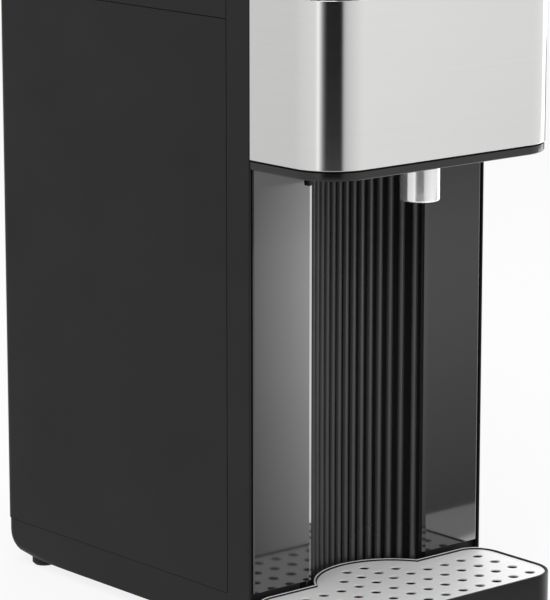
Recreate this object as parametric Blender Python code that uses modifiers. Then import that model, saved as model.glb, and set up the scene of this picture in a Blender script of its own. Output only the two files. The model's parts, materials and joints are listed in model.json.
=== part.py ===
"""Counter-top hot water dispenser: a dark housing with a steel-wrapped head over a
fluted niche, a lift-out water tank behind and a slide-out drip tray in front.

Metres. +X is right, +Y is to the back and +Z is up. The origin lies on the table,
below the middle of the whole object.
"""
import math

import bmesh
import bpy
from mathutils import Matrix, Vector

# Overall sizes
body_width = 0.160
body_depth = 0.2075
head_reach = 0.058
tray_reach = 0.062
foot_height = 0.005

# Heights above the underside of the base
base_rise = 0.019
cradle_rise = 0.055
panel_rise = 0.3253

# Heights that hang below the panel
deck_height = 0.0146
band_height = 0.0829
cover_height = 0.0044

# Fits and tools
seat_gap = 0.0003
cut_over = 0.002
weld = 0.00001
fine_edge = 0.0008
large_corner = 0.0055
corner_steps = 8
small_corner_steps = 3
fillet_steps = 6
round_sides = 32
inner_sides = 16
small_sides = 12

# Front frame and the gloss panels on it
frame_depth = 0.0176
frame_wall = 0.0025
frame_lip = 0.0012
frame_edge = 0.0006
lip_groove = 0.0013
web_thickness = 0.0022
wing_thickness = 0.003
wing_rise = 0.0217
wing_edge = 0.0009
window_side = 0.030
window_height = 0.040
window_drop = 0.022
clip_width = 0.0042
clip_thickness = 0.0022
clip_length = 0.0128
clip_inset = 0.0009

# Fluted niche
niche_half_width = 0.0396
niche_depth = 0.026
niche_wall = 0.0018
niche_flange = 0.0037
niche_steps = 16
rib_count = 16
rib_width = 0.0026
rib_height = 0.0015
rib_across_shares = (-1.0, -0.7, 0.0, 0.7, 1.0)
rib_up_shares = (0.0, 0.75, 1.0, 0.75, 0.0)

# Head
head_corner = 0.024
band_thickness = 0.0008
band_back_gap = 0.0005
shell_clearance = 0.0003
shell_wall = 0.002
boss_radius = 0.0032
boss_inset = 0.0025
boss_back = 0.012
boss_lead = 0.026
pilot_radius = 0.0014
pilot_depth = 0.009
cover_inset = 0.0004
cover_floor = 0.0022
cover_wall = 0.002
cover_edge = 0.0008
cover_sink = 0.0021
lobe_clearance = 0.0005
panel_thickness = 0.0023

# Screws
screw_radius = 0.0011
screw_length = 0.008
screw_head_radius = 0.0026
screw_head_height = 0.0014
screw_clearance = 0.0004

# Spout
spout_inset = 0.0214
spout_drop = 0.019
sleeve_radius = 0.010
sleeve_bore = 0.0086
sleeve_flange = 0.0125
sleeve_flange_height = 0.0015
outlet_recess = 0.0015
outlet_bore = 0.0035
outlet_height = 0.014
barb_radius = 0.0055
barb_height = 0.018

# Controls
key_length = 0.018
key_breadth = 0.009
key_corner = 0.003
key_clearance = 0.0003
key_stand = 0.0004
key_flange = 0.0015
key_flange_height = 0.0012
key_travel = 0.001
key_stem = 0.003
key_pitch = 0.028
key_row_inset = 0.022
window_length = 0.044
window_breadth = 0.014
window_corner = 0.002
window_row_reach = 0.012
display_margin = 0.0015
board_drop = 0.009
board_thickness = 0.0016
board_margin = 0.016
board_front_inset = 0.010
board_back_gap = 0.002
post_radius = 0.0028
post_inset = 0.004
post_tip_radius = 0.0012
post_tip_drop = 0.001
switch_side = 0.006
switch_height = 0.0035

# Base pan
base_inset = 0.0005
base_floor = 0.0025
base_wall = 0.0025
base_fillet = 0.012
tongue_side = 0.007
tongue_inset = 0.012
tongue_thickness = 0.003
tongue_corner = 0.012
vent_count = 6
vent_length = 0.040
vent_width = 0.003
vent_pitch = 0.007
vent_back = 0.060
base_boss_radius = 0.0045
base_boss_inset = 0.009
base_boss_front = 0.0284
base_boss_back = 0.0425
base_counterbore = 0.0165

# Feet
foot_radius = 0.0065
foot_edge = 0.0012
foot_stud_radius = 0.0035
foot_stud_height = 0.0015
rear_foot_side = 0.010
rear_foot_back = 0.0215
front_foot_side = 0.022
front_foot_lead = 0.024

# Rear housing and top deck
housing_wall = 0.0025
housing_corner = 0.006
housing_boss_height = 0.022
back_vent_count = 5
back_vent_length = 0.046
back_vent_width = 0.003
back_vent_pitch = 0.0065
back_vent_rise = 0.040
gland_inset = 0.030
gland_rise = 0.036
gland_radius = 0.007
gland_bore = 0.004
gland_flange = 0.0095
gland_flange_depth = 0.0016
gland_length = 0.009
deck_back = 0.108
deck_wall = 0.0025
deck_rear_wall = 0.010
scoop_half_width = 0.015
scoop_radius = 0.006
scoop_lift = 0.001

# Tank cradle
cradle_wall = 0.0022
cradle_floor = 0.0025
cradle_corner = 0.004
cradle_leg = 0.008
cradle_leg_side = 0.022
cradle_leg_inset = 0.016

# Water tank, collar and lid
tank_side_clearance = 0.004
tank_front_clearance = 0.0026
tank_back_clearance = 0.0018
tank_corner = 0.010
tank_wall = 0.002
tank_floor = 0.0025
tank_rim = 0.005
mouth_inset = 0.009
mouth_corner = 0.008
lid_drop = 0.001
rail_width = 0.005
rail_steps = 8
lid_clearance = 0.0003
skirt_clearance = 0.0006
skirt_wall = 0.0018
skirt_height = 0.005
knuckle_radius = 0.0023
knuckle_start = 0.034
knuckle_length = 0.014
pin_radius = 0.001
pin_reach = 0.006
notch_clearance = 0.0004
grip_half_width = 0.025
grip_height = 0.007
grip_depth = 0.003
grip_rise = 0.002

# Tank valve
valve_flange = 0.011
valve_flange_height = 0.0018
valve_stem = 0.0077
valve_stem_length = 0.0145
valve_bore = 0.0042
valve_bore_depth = 0.012
valve_throat = 0.003
valve_hole_clearance = 0.0003
seal_thickness = 0.0018
seal_drop = 0.009
seat_bore = 0.0101
seat_radius = 0.0125
seat_flange = 0.0155
seat_flange_height = 0.0017
seat_depth = 0.0145
seat_floor = 0.002
seat_pin_radius = 0.0012
seat_pin_height = 0.0045
plunger_head_radius = 0.0055
plunger_head_height = 0.0012
plunger_stem = 0.0015
plunger_lift = 0.0029
plunger_foot_radius = 0.0036
plunger_foot_height = 0.0008
plunger_foot_rise = 0.0012
spring_turns = 4
spring_points = 8
seal_steps = 8
spring_wire = 0.0003
spring_radius = 0.0029

# Float
float_inset = 0.032
guide_radius = 0.0015
guide_base_radius = 0.005
guide_base_height = 0.003
guide_top_gap = 0.055
guide_stop_radius = 0.004
guide_stop_height = 0.002
float_radius = 0.009
float_bore = 0.0022
float_height = 0.018
float_edge = 0.002

# Heating and pumping
heater_radius = 0.017
heater_back = 0.064
heater_rise = 0.075
heater_height = 0.135
heater_shoulder = 0.004
heater_port = 0.0045
heater_port_length = 0.008
clamp_wall = 0.002
clamp_height = 0.018
clamp_tab_half_width = 0.008
clamp_plate_half_width = 0.022
clamp_plate_height = 0.034
clamp_plate_thickness = 0.002
cutout_radius = 0.007
cutout_length = 0.006
cutout_drop = 0.030
cutout_terminal = 0.0008
cutout_terminal_length = 0.006
cutout_terminal_side = 0.003
sensor_radius = 0.0025
sensor_length = 0.012
sensor_drop = 0.015
pump_side = 0.040
pump_back = 0.070
pump_radius = 0.020
pump_height = 0.018
pump_port = 0.0045
pump_port_length = 0.008
motor_radius = 0.015
motor_height = 0.032
motor_edge = 0.002
power_board_side_gap = 0.004
power_board_thickness = 0.0016
power_board_length = 0.058
power_board_height = 0.090
power_board_rise = 0.090
power_board_back = 0.040
relay_size = (0.012, 0.016, 0.019)
relay_pitch = 0.026
capacitor_radius = 0.006
capacitor_length = 0.016
standoff_radius = 0.003
hose_radius = 0.0042
hose_steps = 4

# Drip tray and its cover
tray_front_corner = 0.018
tray_rear_corner = 0.014
tray_back = 0.0014
tray_lift = 0.0005
tray_rim_rise = 0.018
tray_rim = 0.0014
tray_wall = 0.0036
tray_floor = 0.002
tray_edge = 0.0006
bay_clearance = 0.003
grille_thickness = 0.0008
grille_drop = 0.0007
hole_radius = 0.0027
hole_sides = 8
hole_pitch = 0.012
hole_side_margin = 0.0075
hole_row_pitch = 0.013
hole_front_margin = 0.008
bay_row_reach = 0.0015
bay_row_columns = 4
inner_row_back = 0.0095
inner_row_columns = 2

# Derived places
half_width = body_width / 2
front = (tray_reach - body_depth) / 2
rear = front + body_depth
under = foot_height
seam_y = front + frame_depth
split_y = front + deck_back
base_seam = under + base_rise
panel_level = under + panel_rise
top_seam = panel_level - deck_height
band_level = panel_level - band_height
cover_level = band_level - cover_height
cover_top = cover_level + cover_floor
panel_top = panel_level + panel_thickness
web_front = front + wing_thickness + seat_gap
web_back = web_front + web_thickness
tongue_top = under + tongue_thickness
tongue_half_width = half_width - tongue_side
tongue_front = front - tray_reach + tongue_inset
niche_sag = front + niche_depth - web_front
niche_radius = (niche_half_width ** 2 + niche_sag ** 2) / (2 * niche_sag)
niche_centre = front + niche_depth - niche_radius
spout_y = front - head_reach + spout_inset
base_floor_top = under + base_floor
cradle_level = under + cradle_rise
cradle_top = cradle_level + cradle_floor
tank_level = cradle_top + seat_gap
tank_floor_top = tank_level + tank_floor
tank_top = top_seam + tank_rim
lid_level = panel_level - lid_drop
hinge_y = rear - rail_width / 2
hinge_z = panel_top - rail_width / 2
valve_y = (split_y + rear) / 2
heater_y = front + heater_back
gland_x = half_width - gland_inset
float_x = half_width - float_inset
pump_y = front + pump_back

for leftover in list(bpy.data.objects):
    bpy.data.objects.remove(leftover)
parts = bpy.data.collections.new("water_dispenser")
cutters = bpy.data.collections.new("cutters")
bpy.context.scene.collection.children.link(parts)
bpy.context.scene.collection.children.link(cutters)


def finish(name, colour, roughness, metallic=0.0):
    """A Principled material."""
    material = bpy.data.materials.new(name)
    material.use_nodes = True
    shader = material.node_tree.nodes["Principled BSDF"]
    shader.inputs["Base Color"].default_value = (*colour, 1.0)
    shader.inputs["Roughness"].default_value = roughness
    shader.inputs["Metallic"].default_value = metallic
    return material


black_plastic = finish("black_plastic", (0.031, 0.031, 0.032), 0.45)
gloss_black = finish("gloss_black", (0.030, 0.030, 0.032), 0.12)
brushed_steel = finish("brushed_steel", (0.62, 0.62, 0.61), 0.28, 1.0)
chrome = finish("chrome", (0.80, 0.80, 0.80), 0.08, 1.0)
smoke_plastic = finish("smoke_plastic", (0.03, 0.03, 0.035), 0.12)
tank_plastic = finish("tank_plastic", (0.16, 0.18, 0.20), 0.15)
rubber = finish("rubber", (0.020, 0.020, 0.020), 0.75)
silicone = finish("silicone", (0.62, 0.60, 0.56), 0.55)
grey_plastic = finish("grey_plastic", (0.28, 0.29, 0.30), 0.50)
white_plastic = finish("white_plastic", (0.75, 0.75, 0.73), 0.45)
board_green = finish("board_green", (0.03, 0.16, 0.07), 0.45)
zinc = finish("zinc", (0.55, 0.55, 0.54), 0.35, 1.0)


def place(name, mesh, material=None):
    """Link a mesh as a part, or as a hidden cutter where it has no material."""
    obj = bpy.data.objects.new(name, mesh)
    mesh.shade_smooth()
    mesh.set_sharp_from_angle(angle=math.radians(35))
    if material is None:
        cutters.objects.link(obj)
        obj.hide_render = True
        obj.display_type = "WIRE"
    else:
        mesh.materials.append(material)
        parts.objects.link(obj)
    return obj


def cut(target, *tools):
    """Take the tools away from the target."""
    for tool in tools:
        step = target.modifiers.new("cut", "BOOLEAN")
        step.operation = "DIFFERENCE"
        step.solver = "EXACT"
        step.object = tool


def fuse(target, *pieces):
    """Join the pieces to the target as one moulding."""
    for piece in pieces:
        step = target.modifiers.new("fuse", "BOOLEAN")
        step.operation = "UNION"
        step.solver = "EXACT"
        step.object = piece


def soften(mesh, picks, radius, steps):
    """Round the sharp edges that picks() chooses."""
    bm = bmesh.new()
    bm.from_mesh(mesh)
    bmesh.ops.dissolve_limit(bm, angle_limit=math.radians(0.1), verts=bm.verts, edges=bm.edges)
    chosen = [edge for edge in bm.edges if edge.calc_face_angle(0.0) > math.radians(50) and picks(edge)]
    bmesh.ops.bevel(bm, geom=chosen, offset=radius, segments=steps, profile=0.5, affect="EDGES")
    bm.to_mesh(mesh)
    bm.free()


def at_level(level):
    """Chooses the edges that lie at one height."""
    return lambda edge: all(abs(vert.co.z - level) < weld for vert in edge.verts)


def mesh_from_curve(curve):
    """The welded mesh of a curve, which is removed."""
    holder = bpy.data.objects.new("outline", curve)
    bpy.context.scene.collection.objects.link(holder)
    graph = bpy.context.evaluated_depsgraph_get()
    mesh = bpy.data.meshes.new_from_object(holder.evaluated_get(graph))
    bpy.data.objects.remove(holder)
    bpy.data.curves.remove(curve)
    bm = bmesh.new()
    bm.from_mesh(mesh)
    bmesh.ops.remove_doubles(bm, verts=bm.verts, dist=weld)
    bm.to_mesh(mesh)
    bm.free()
    return mesh


def outline_curve(outlines, height, closed):
    """A flat curve in XY, raised by its extrude to the given height."""
    curve = bpy.data.curves.new("outline", "CURVE")
    curve.dimensions = "2D"
    curve.fill_mode = "BOTH" if closed else "NONE"
    curve.extrude = height / 2
    for outline in outlines:
        spline = curve.splines.new("POLY")
        spline.points.add(len(outline) - 1)
        spline.use_cyclic_u = closed
        for point, (x, y) in zip(spline.points, outline):
            point.co = (x, y, 0.0, 1.0)
    return curve


def prism(name, outlines, bottom, top, material=None):
    """An outline with any holes in it, raised between two heights."""
    mesh = mesh_from_curve(outline_curve(outlines, top - bottom, True))
    mesh.transform(Matrix.Translation((0.0, 0.0, (bottom + top) / 2)))
    return place(name, mesh, material)


def side_prism(name, outline, left, right, material=None):
    """An outline in Y and Z, carried across from left to right."""
    mesh = mesh_from_curve(outline_curve([outline], right - left, True))
    turn = Matrix(((0, 0, 1, (left + right) / 2), (1, 0, 0, 0), (0, 1, 0, 0), (0, 0, 0, 1)))
    mesh.transform(turn)
    return place(name, mesh, material)


def ribbon(name, path, bottom, top, thickness, material):
    """A wall that follows an open path, thickened towards the inside of its bend."""
    mesh = mesh_from_curve(outline_curve([path], top - bottom, False))
    mesh.transform(Matrix.Translation((0.0, 0.0, (bottom + top) / 2)))
    obj = place(name, mesh, material)
    wall = obj.modifiers.new("wall", "SOLIDIFY")
    wall.thickness = thickness
    wall.offset = 1.0
    wall.use_even_offset = True
    return obj


def block(name, x, y, z, material=None):
    """A box between two values on each axis."""
    bm = bmesh.new()
    bmesh.ops.create_cube(bm, size=1.0)
    low = Vector((x[0], y[0], z[0]))
    high = Vector((x[1], y[1], z[1]))
    size = high - low
    bmesh.ops.transform(bm, verts=bm.verts, matrix=Matrix.Translation((low + high) / 2)
                        @ Matrix.Diagonal((*size, 1.0)))
    mesh = bpy.data.meshes.new(name)
    bm.to_mesh(mesh)
    bm.free()
    return place(name, mesh, material)


def rod(name, start, end, radius, material=None, sides=round_sides):
    """A cylinder from start to end."""
    bm = bmesh.new()
    run = Vector(end) - Vector(start)
    middle = (Vector(end) + Vector(start)) / 2
    bmesh.ops.create_cone(bm, cap_ends=True, segments=sides, radius1=radius, radius2=radius,
                          depth=run.length)
    turn = run.to_track_quat("Z", "Y").to_matrix().to_4x4()
    bmesh.ops.transform(bm, verts=bm.verts, matrix=Matrix.Translation(middle) @ turn)
    mesh = bpy.data.meshes.new(name)
    bm.to_mesh(mesh)
    bm.free()
    return place(name, mesh, material)


def turned(name, profile, x, y, material=None, ring=False, sides=round_sides):
    """A profile of radius and height turned round an upright axis at x, y."""
    mesh = bpy.data.meshes.new(name)
    edges = [(i, i + 1) for i in range(len(profile) - 1)]
    if ring:
        edges.append((len(profile) - 1, 0))
    mesh.from_pydata([(radius, 0.0, z) for radius, z in profile], edges, [])
    obj = place(name, mesh, material)
    obj.location = (x, y, 0.0)
    lathe = obj.modifiers.new("lathe", "SCREW")
    lathe.steps = sides
    lathe.render_steps = sides
    lathe.use_merge_vertices = True
    lathe.merge_threshold = weld
    return obj


def hose(name, points, radius, material):
    """A round tube on a smooth path through the points."""
    curve = bpy.data.curves.new(name, "CURVE")
    curve.dimensions = "3D"
    curve.bevel_depth = radius
    curve.bevel_resolution = 2
    curve.use_fill_caps = True
    spline = curve.splines.new("POLY")
    path = smooth_path(points, hose_steps)
    spline.points.add(len(path) - 1)
    for point, place_on_path in zip(spline.points, path):
        point.co = (*place_on_path, 1.0)
    obj = bpy.data.objects.new(name, curve)
    curve.materials.append(material)
    parts.objects.link(obj)
    return obj


def smooth_path(points, steps):
    """Points on a smooth curve through the given ones, straight at both ends."""
    knots = [Vector(point) for point in points]
    path = [knots[0]]
    for a, b, c, d in zip(knots, knots[1:], knots[2:], knots[3:]):
        for step in range(steps):
            t = step / steps
            path.append(0.5 * (2 * b + (c - a) * t + (2 * a - 5 * b + 4 * c - d) * t ** 2
                               + (3 * b - a - 3 * c + d) * t ** 3))
    return path + knots[-2:]


def arc(x, y, radius, start, end, steps=None):
    """Points on an arc between two angles in degrees."""
    steps = steps or (corner_steps if radius > large_corner else small_corner_steps)
    angles = [math.radians(start + (end - start) * i / steps) for i in range(steps + 1)]
    return [(x + radius * math.cos(angle), y + radius * math.sin(angle)) for angle in angles]


def corner(x, y, radius, start):
    """A quarter turn of an outline, or its bare corner point."""
    return arc(x, y, radius, start, start + 90) if radius > 0 else [(x, y)]


def rounded_box(x, y, front_radius, rear_radius):
    """A rectangle with its own corner radius at the front and at the rear."""
    a, b = front_radius, rear_radius
    return (corner(x[0] + a, y[0] + a, a, 180) + corner(x[1] - a, y[0] + a, a, 270)
            + corner(x[1] - b, y[1] - b, b, 0) + corner(x[0] + b, y[1] - b, b, 90))


def front_path(inset, back):
    """The head's open outline, from its left end round the front to its right end."""
    side = half_width - inset
    lead = front - head_reach + inset
    radius = head_corner - inset
    return ([(-side, back)] + arc(radius - side, lead + radius, radius, 180, 270)
            + arc(side - radius, lead + radius, radius, 270, 360) + [(side, back)])


def rear_path(inset, start):
    """The housing's open outline, from its right front edge round the back to the left."""
    side = half_width - inset
    back = rear - inset
    radius = housing_corner - inset
    return ([(side, start)] + arc(side - radius, back - radius, radius, 0, 90)
            + arc(radius - side, back - radius, radius, 90, 180) + [(-side, start)])


def bay_arc(radius, back):
    """The arc round the niche's centre, from right to left, behind the line at back."""
    angle = math.degrees(math.asin((back - niche_centre) / radius))
    return arc(0.0, niche_centre, radius, angle, 180 - angle, niche_steps)


def screws(name, spots, head_level):
    """Pan-head screws that point up, with the tops of their heads at head_level."""
    profile = [(0.0, head_level + screw_length), (screw_radius, head_level + screw_length),
               (screw_radius, head_level), (screw_head_radius, head_level),
               (screw_head_radius, head_level - screw_head_height),
               (0.0, head_level - screw_head_height)]
    for number, (x, y) in enumerate(spots, start=1):
        turned(f"{name}_{number}", profile, x, y, zinc, sides=small_sides)


def moves(name, origin, members, parent=None):
    """An empty on a joint's axis that carries the members."""
    empty = bpy.data.objects.new(name, None)
    parts.objects.link(empty)
    empty.location = Vector(origin) - (Vector(parent.location) if parent else Vector())
    empty.parent = parent
    for member in members:
        member.parent = empty
        member.matrix_parent_inverse = Matrix.Translation(-Vector(origin))
    return empty


def mirrored(values):
    """Each pair of values on both sides of X = 0."""
    return [(side * x, y) for x, y in values for side in (-1, 1)]


def make_base():
    """The base pan with its tongue for the drip tray, the feet and the base screws."""
    side = half_width - base_inset
    back = rear - base_inset
    seam = base_seam - seat_gap
    profile = ([(seam_y, under)]
               + arc(back - base_fillet, under + base_fillet, base_fillet, 270, 360, fillet_steps)
               + [(back, seam), (seam_y, seam)])
    pan = side_prism("base_pan", profile, -side, side, black_plastic)
    fillet_start = back - base_fillet - weld

    def rear_corner(edge):
        first, second = edge.verts
        return (first.co.x * second.co.x > 0 and min(first.co.y, second.co.y) > fillet_start
                and not at_level(seam)(edge))

    soften(pan.data, rear_corner, housing_corner - base_inset, corner_steps)
    inner_fillet = base_fillet - base_wall
    inner_back = back - base_wall
    notch_end = front + niche_depth + niche_wall + seat_gap
    pocket_start = notch_end + base_wall
    pocket = ([(pocket_start, base_floor_top)]
              + arc(inner_back - inner_fillet, base_floor_top + inner_fillet, inner_fillet, 270, 360,
                    fillet_steps)
              + [(inner_back, seam + cut_over), (pocket_start, seam + cut_over)])
    notch = (seam_y - cut_over, notch_end)
    inner_side = side - base_wall
    cut(pan, side_prism("pan_pocket", pocket, -inner_side, inner_side),
        block("pan_notch", (-inner_side, inner_side), notch, (tongue_top, seam + cut_over)))
    tongue = rounded_box((-tongue_half_width, tongue_half_width), (tongue_front, seam_y + cut_over),
                         tongue_corner, 0.0)
    fuse(pan, prism("tongue", [tongue], under, tongue_top))
    boss_side = half_width - base_boss_inset
    bosses = mirrored([(boss_side, seam_y + base_boss_front), (boss_side, rear - base_boss_back)])
    head_top = under + base_counterbore
    for x, y in bosses:
        fuse(pan, rod("pan_boss", (x, y, under + base_floor / 2), (x, y, seam), base_boss_radius,
                      sides=small_sides))
        cut(pan, rod("counterbore", (x, y, under - cut_over), (x, y, head_top),
                     screw_head_radius + screw_clearance, sides=small_sides),
            rod("screw_hole", (x, y, under), (x, y, seam + cut_over), screw_radius + screw_clearance,
                sides=small_sides))
    for i in range(vent_count):
        y = front + vent_back + i * vent_pitch
        cut(pan, block("floor_vent", (-vent_length / 2, vent_length / 2), (y, y + vent_width),
                       (under - cut_over, base_floor_top + cut_over)))
    rear_x = half_width - rear_foot_side
    rear_y = rear - rear_foot_back
    front_x = half_width - front_foot_side
    front_y = front - tray_reach + front_foot_lead
    feet = {"foot_rear_left": (-rear_x, rear_y), "foot_rear_right": (rear_x, rear_y),
            "foot_front_left": (-front_x, front_y), "foot_front_right": (front_x, front_y)}
    for name, (x, y) in feet.items():
        cut(pan, rod("foot_socket", (x, y, under - cut_over), (x, y, under + foot_stud_height + seat_gap),
                     foot_stud_radius + seat_gap, sides=small_sides))
        top = under - seat_gap
        profile = [(0.0, under + foot_stud_height), (foot_stud_radius, under + foot_stud_height),
                   (foot_stud_radius, top), (foot_radius, top), (foot_radius, foot_edge),
                   (foot_radius - foot_edge, 0.0), (0.0, 0.0)]
        turned(name, profile, x, y, rubber, sides=small_sides)
    screws("base_screw", bosses, head_top - seat_gap)
    return bosses


def make_housing(bosses):
    """The rear housing that wraps the sides and the back, and the cord gland in it."""
    housing = ribbon("rear_housing", rear_path(0.0, seam_y), base_seam, top_seam - seat_gap,
                     housing_wall, black_plastic)
    for x, y in bosses:
        side = math.copysign(half_width - housing_wall / 2, x)
        reach = sorted((x, side))
        fuse(housing, rod("housing_boss", (x, y, base_seam), (x, y, base_seam + housing_boss_height),
                          base_boss_radius, sides=small_sides),
             block("boss_web", reach, (y - base_boss_radius / 2, y + base_boss_radius / 2),
                   (base_seam, base_seam + housing_boss_height)))
        cut(housing, rod("boss_pilot", (x, y, base_seam - cut_over), (x, y, base_seam + pilot_depth),
                         pilot_radius, sides=small_sides))
    for i in range(back_vent_count):
        z = under + back_vent_rise + i * back_vent_pitch
        cut(housing, block("back_vent", (-back_vent_length / 2, back_vent_length / 2),
                           (rear - housing_wall - cut_over, rear + cut_over), (z, z + back_vent_width)))
    gland_z = under + gland_rise
    cut(housing, rod("gland_hole", (gland_x, rear - housing_wall - cut_over, gland_z),
                     (gland_x, rear + cut_over, gland_z), gland_radius + seat_gap, sides=small_sides))
    flange_top = gland_length - housing_wall - seat_gap
    flange_bottom = flange_top - gland_flange_depth
    profile = [(gland_bore, gland_length), (gland_radius, gland_length), (gland_radius, flange_top),
               (gland_flange, flange_top), (gland_flange, flange_bottom), (gland_radius, flange_bottom),
               (gland_radius, 0.0), (gland_bore, 0.0)]
    gland = turned("cord_gland", profile, gland_x, 0.0, rubber, ring=True, sides=small_sides)
    gland.location = (gland_x, rear - gland_length, gland_z)
    gland.rotation_euler = (math.radians(-90), 0.0, 0.0)


def make_front():
    """The front frame, the two gloss wings on it, their clips and the fluted niche."""
    frame_back = seam_y - seat_gap
    frame_top = panel_level - seat_gap
    head_plate = cover_top + seat_gap
    wing_top = cover_top
    frame = block("front_frame", (-half_width, half_width), (front, frame_back), (under, frame_top),
                  black_plastic)
    soften(frame.data, lambda edge: all(vert.co.y < front + weld for vert in edge.verts)
           and abs(edge.verts[0].co.x - edge.verts[1].co.x) < weld, frame_edge, 2)
    inner = half_width - frame_wall
    opening = niche_half_width + niche_flange + seat_gap
    low = under - cut_over
    through = (front - cut_over, frame_back + cut_over)
    window_top = frame_top - window_drop
    cut(frame, block("frame_pocket", (-inner, inner), (web_back, frame_back + cut_over),
                     (low, frame_top + cut_over)),
        block("wing_pocket", (frame_lip - half_width, half_width - frame_lip),
              (front - cut_over, web_front), (low, head_plate)),
        block("niche_opening", (-opening, opening), through, (low, head_plate)),
        block("tongue_way", (-inner, inner), through, (low, tongue_top + seat_gap)),
        block("head_window", (window_side - half_width, half_width - window_side), through,
              (window_top - window_height, window_top)))
    wing_side = half_width - frame_lip - lip_groove
    for name, sign in (("wing_panel_left", -1), ("wing_panel_right", 1)):
        across = sorted((sign * niche_half_width, sign * wing_side))
        wing = block(name, across, (front, front + wing_thickness), (under + wing_rise, wing_top),
                     gloss_black)
        soften(wing.data, lambda edge: all(vert.co.y < front + weld for vert in edge.verts)
               and abs(edge.verts[0].co.x - edge.verts[1].co.x) < weld, wing_edge, 2)
    for name, sign in (("panel_clip_left", -1), ("panel_clip_right", 1)):
        start = niche_half_width + clip_inset
        across = sorted((sign * start, sign * (start + clip_width)))
        clip_top = cover_level - seat_gap
        clip = block(name, across, (front - seat_gap - clip_thickness, front - seat_gap),
                     (clip_top - clip_length, clip_top), black_plastic)
        soften(clip.data, lambda edge: all(vert.co.z < clip_top - clip_length + weld for vert in edge.verts)
               and abs(edge.verts[0].co.x - edge.verts[1].co.x) < weld, clip_width / 3, 3)
    prism("niche_panel", [niche_outline()], tongue_top + seat_gap, wing_top, black_plastic)


def niche_outline():
    """The niche in plan: ribs on a hollow arc, a flange at each end and a plain back."""
    reach = math.asin(niche_half_width / niche_radius)
    pitch = 2 * reach / rib_count
    half_rib = rib_width / 2 / niche_radius
    outline = [(-niche_half_width, web_front)]
    for i in range(rib_count):
        middle = (i + 0.5) * pitch - reach
        for across, up in zip(rib_across_shares, rib_up_shares):
            angle = middle + across * half_rib
            radius = niche_radius - up * rib_height
            outline.append((radius * math.sin(angle), niche_centre + radius * math.cos(angle)))
    outline.append((niche_half_width, web_front))
    outline.append((niche_half_width + niche_flange, web_front))
    outline.append((niche_half_width + niche_flange, web_front + niche_wall))
    outline += bay_arc(niche_radius + niche_wall, web_front + niche_wall)
    outline.append((-niche_half_width - niche_flange, web_front + niche_wall))
    outline.append((-niche_half_width - niche_flange, web_front))
    return outline


def make_head():
    """The steel band, the shell behind it, the cover below it and the cover's screws."""
    top = panel_level - seat_gap
    ribbon("head_band", front_path(0.0, front - band_back_gap), band_level, top, band_thickness,
           brushed_steel)
    shell_inset = band_thickness + shell_clearance
    shell = ribbon("head_shell", front_path(shell_inset, front - seat_gap), band_level, top, shell_wall,
                   black_plastic)
    boss_x = half_width - shell_inset - shell_wall - boss_inset
    spots = mirrored([(boss_x, front - boss_back), (boss_x, front - head_reach + boss_lead)])
    for x, y in spots:
        wall_x = math.copysign(half_width - shell_inset - shell_wall / 2, x)
        fuse(shell, rod("shell_boss", (x, y, band_level), (x, y, top), boss_radius, sides=small_sides),
             block("shell_web", sorted((x, wall_x)), (y - boss_radius / 2, y + boss_radius / 2),
                   (band_level, top)))
        cut(shell, rod("shell_pilot", (x, y, band_level - cut_over), (x, y, band_level + pilot_depth),
                       pilot_radius, sides=small_sides))
    lobe = niche_radius - rib_height - lobe_clearance
    back = front - seat_gap
    outline = front_path(cover_inset, back) + bay_arc(lobe, back)
    cover = prism("head_bottom_cover", [outline], cover_level, band_level - seat_gap, black_plastic)
    cover_side = half_width - cover_inset - weld

    def outer_rim(edge):
        return at_level(cover_level)(edge) and all(
            vert.co.y < back - weld or abs(vert.co.x) > cover_side for vert in edge.verts)

    soften(cover.data, outer_rim, cover_edge, 2)
    pocket = front_path(cover_inset + cover_wall, front + niche_depth)
    cut(cover, prism("cover_pocket", [pocket], cover_top, band_level + cut_over),
        rod("spout_hole", (0.0, spout_y, cover_level - cut_over), (0.0, spout_y, band_level),
            sleeve_radius + seat_gap))
    head_top = cover_level + cover_sink
    for x, y in spots:
        fuse(cover, rod("cover_boss", (x, y, cover_top - cover_floor / 2), (x, y, band_level - seat_gap),
                        boss_radius, sides=small_sides))
        cut(cover, rod("head_sink", (x, y, cover_level - cut_over), (x, y, head_top),
                       screw_head_radius + screw_clearance, sides=small_sides),
            rod("cover_hole", (x, y, cover_level), (x, y, band_level + cut_over),
                screw_radius + screw_clearance, sides=small_sides))
    screws("cover_screw", spots, head_top - seat_gap)


def make_spout():
    """The polished sleeve under the head and the outlet inside it."""
    bottom = cover_level - spout_drop
    flange = cover_top + seat_gap
    top = flange + sleeve_flange_height
    profile = [(sleeve_bore, top), (sleeve_flange, top), (sleeve_flange, flange), (sleeve_radius, flange),
               (sleeve_radius, bottom + fine_edge), (sleeve_radius - fine_edge, bottom),
               (sleeve_bore, bottom)]
    turned("spout_sleeve", profile, 0.0, spout_y, chrome, ring=True)
    low = bottom + outlet_recess
    shoulder = low + outlet_height
    end = shoulder + barb_height
    body = sleeve_bore - seat_gap
    profile = [(outlet_bore, end), (barb_radius, end), (barb_radius, shoulder), (body, shoulder),
               (body, low), (outlet_bore, low)]
    turned("spout_outlet", profile, 0.0, spout_y, grey_plastic, ring=True, sides=inner_sides)
    return end


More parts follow.
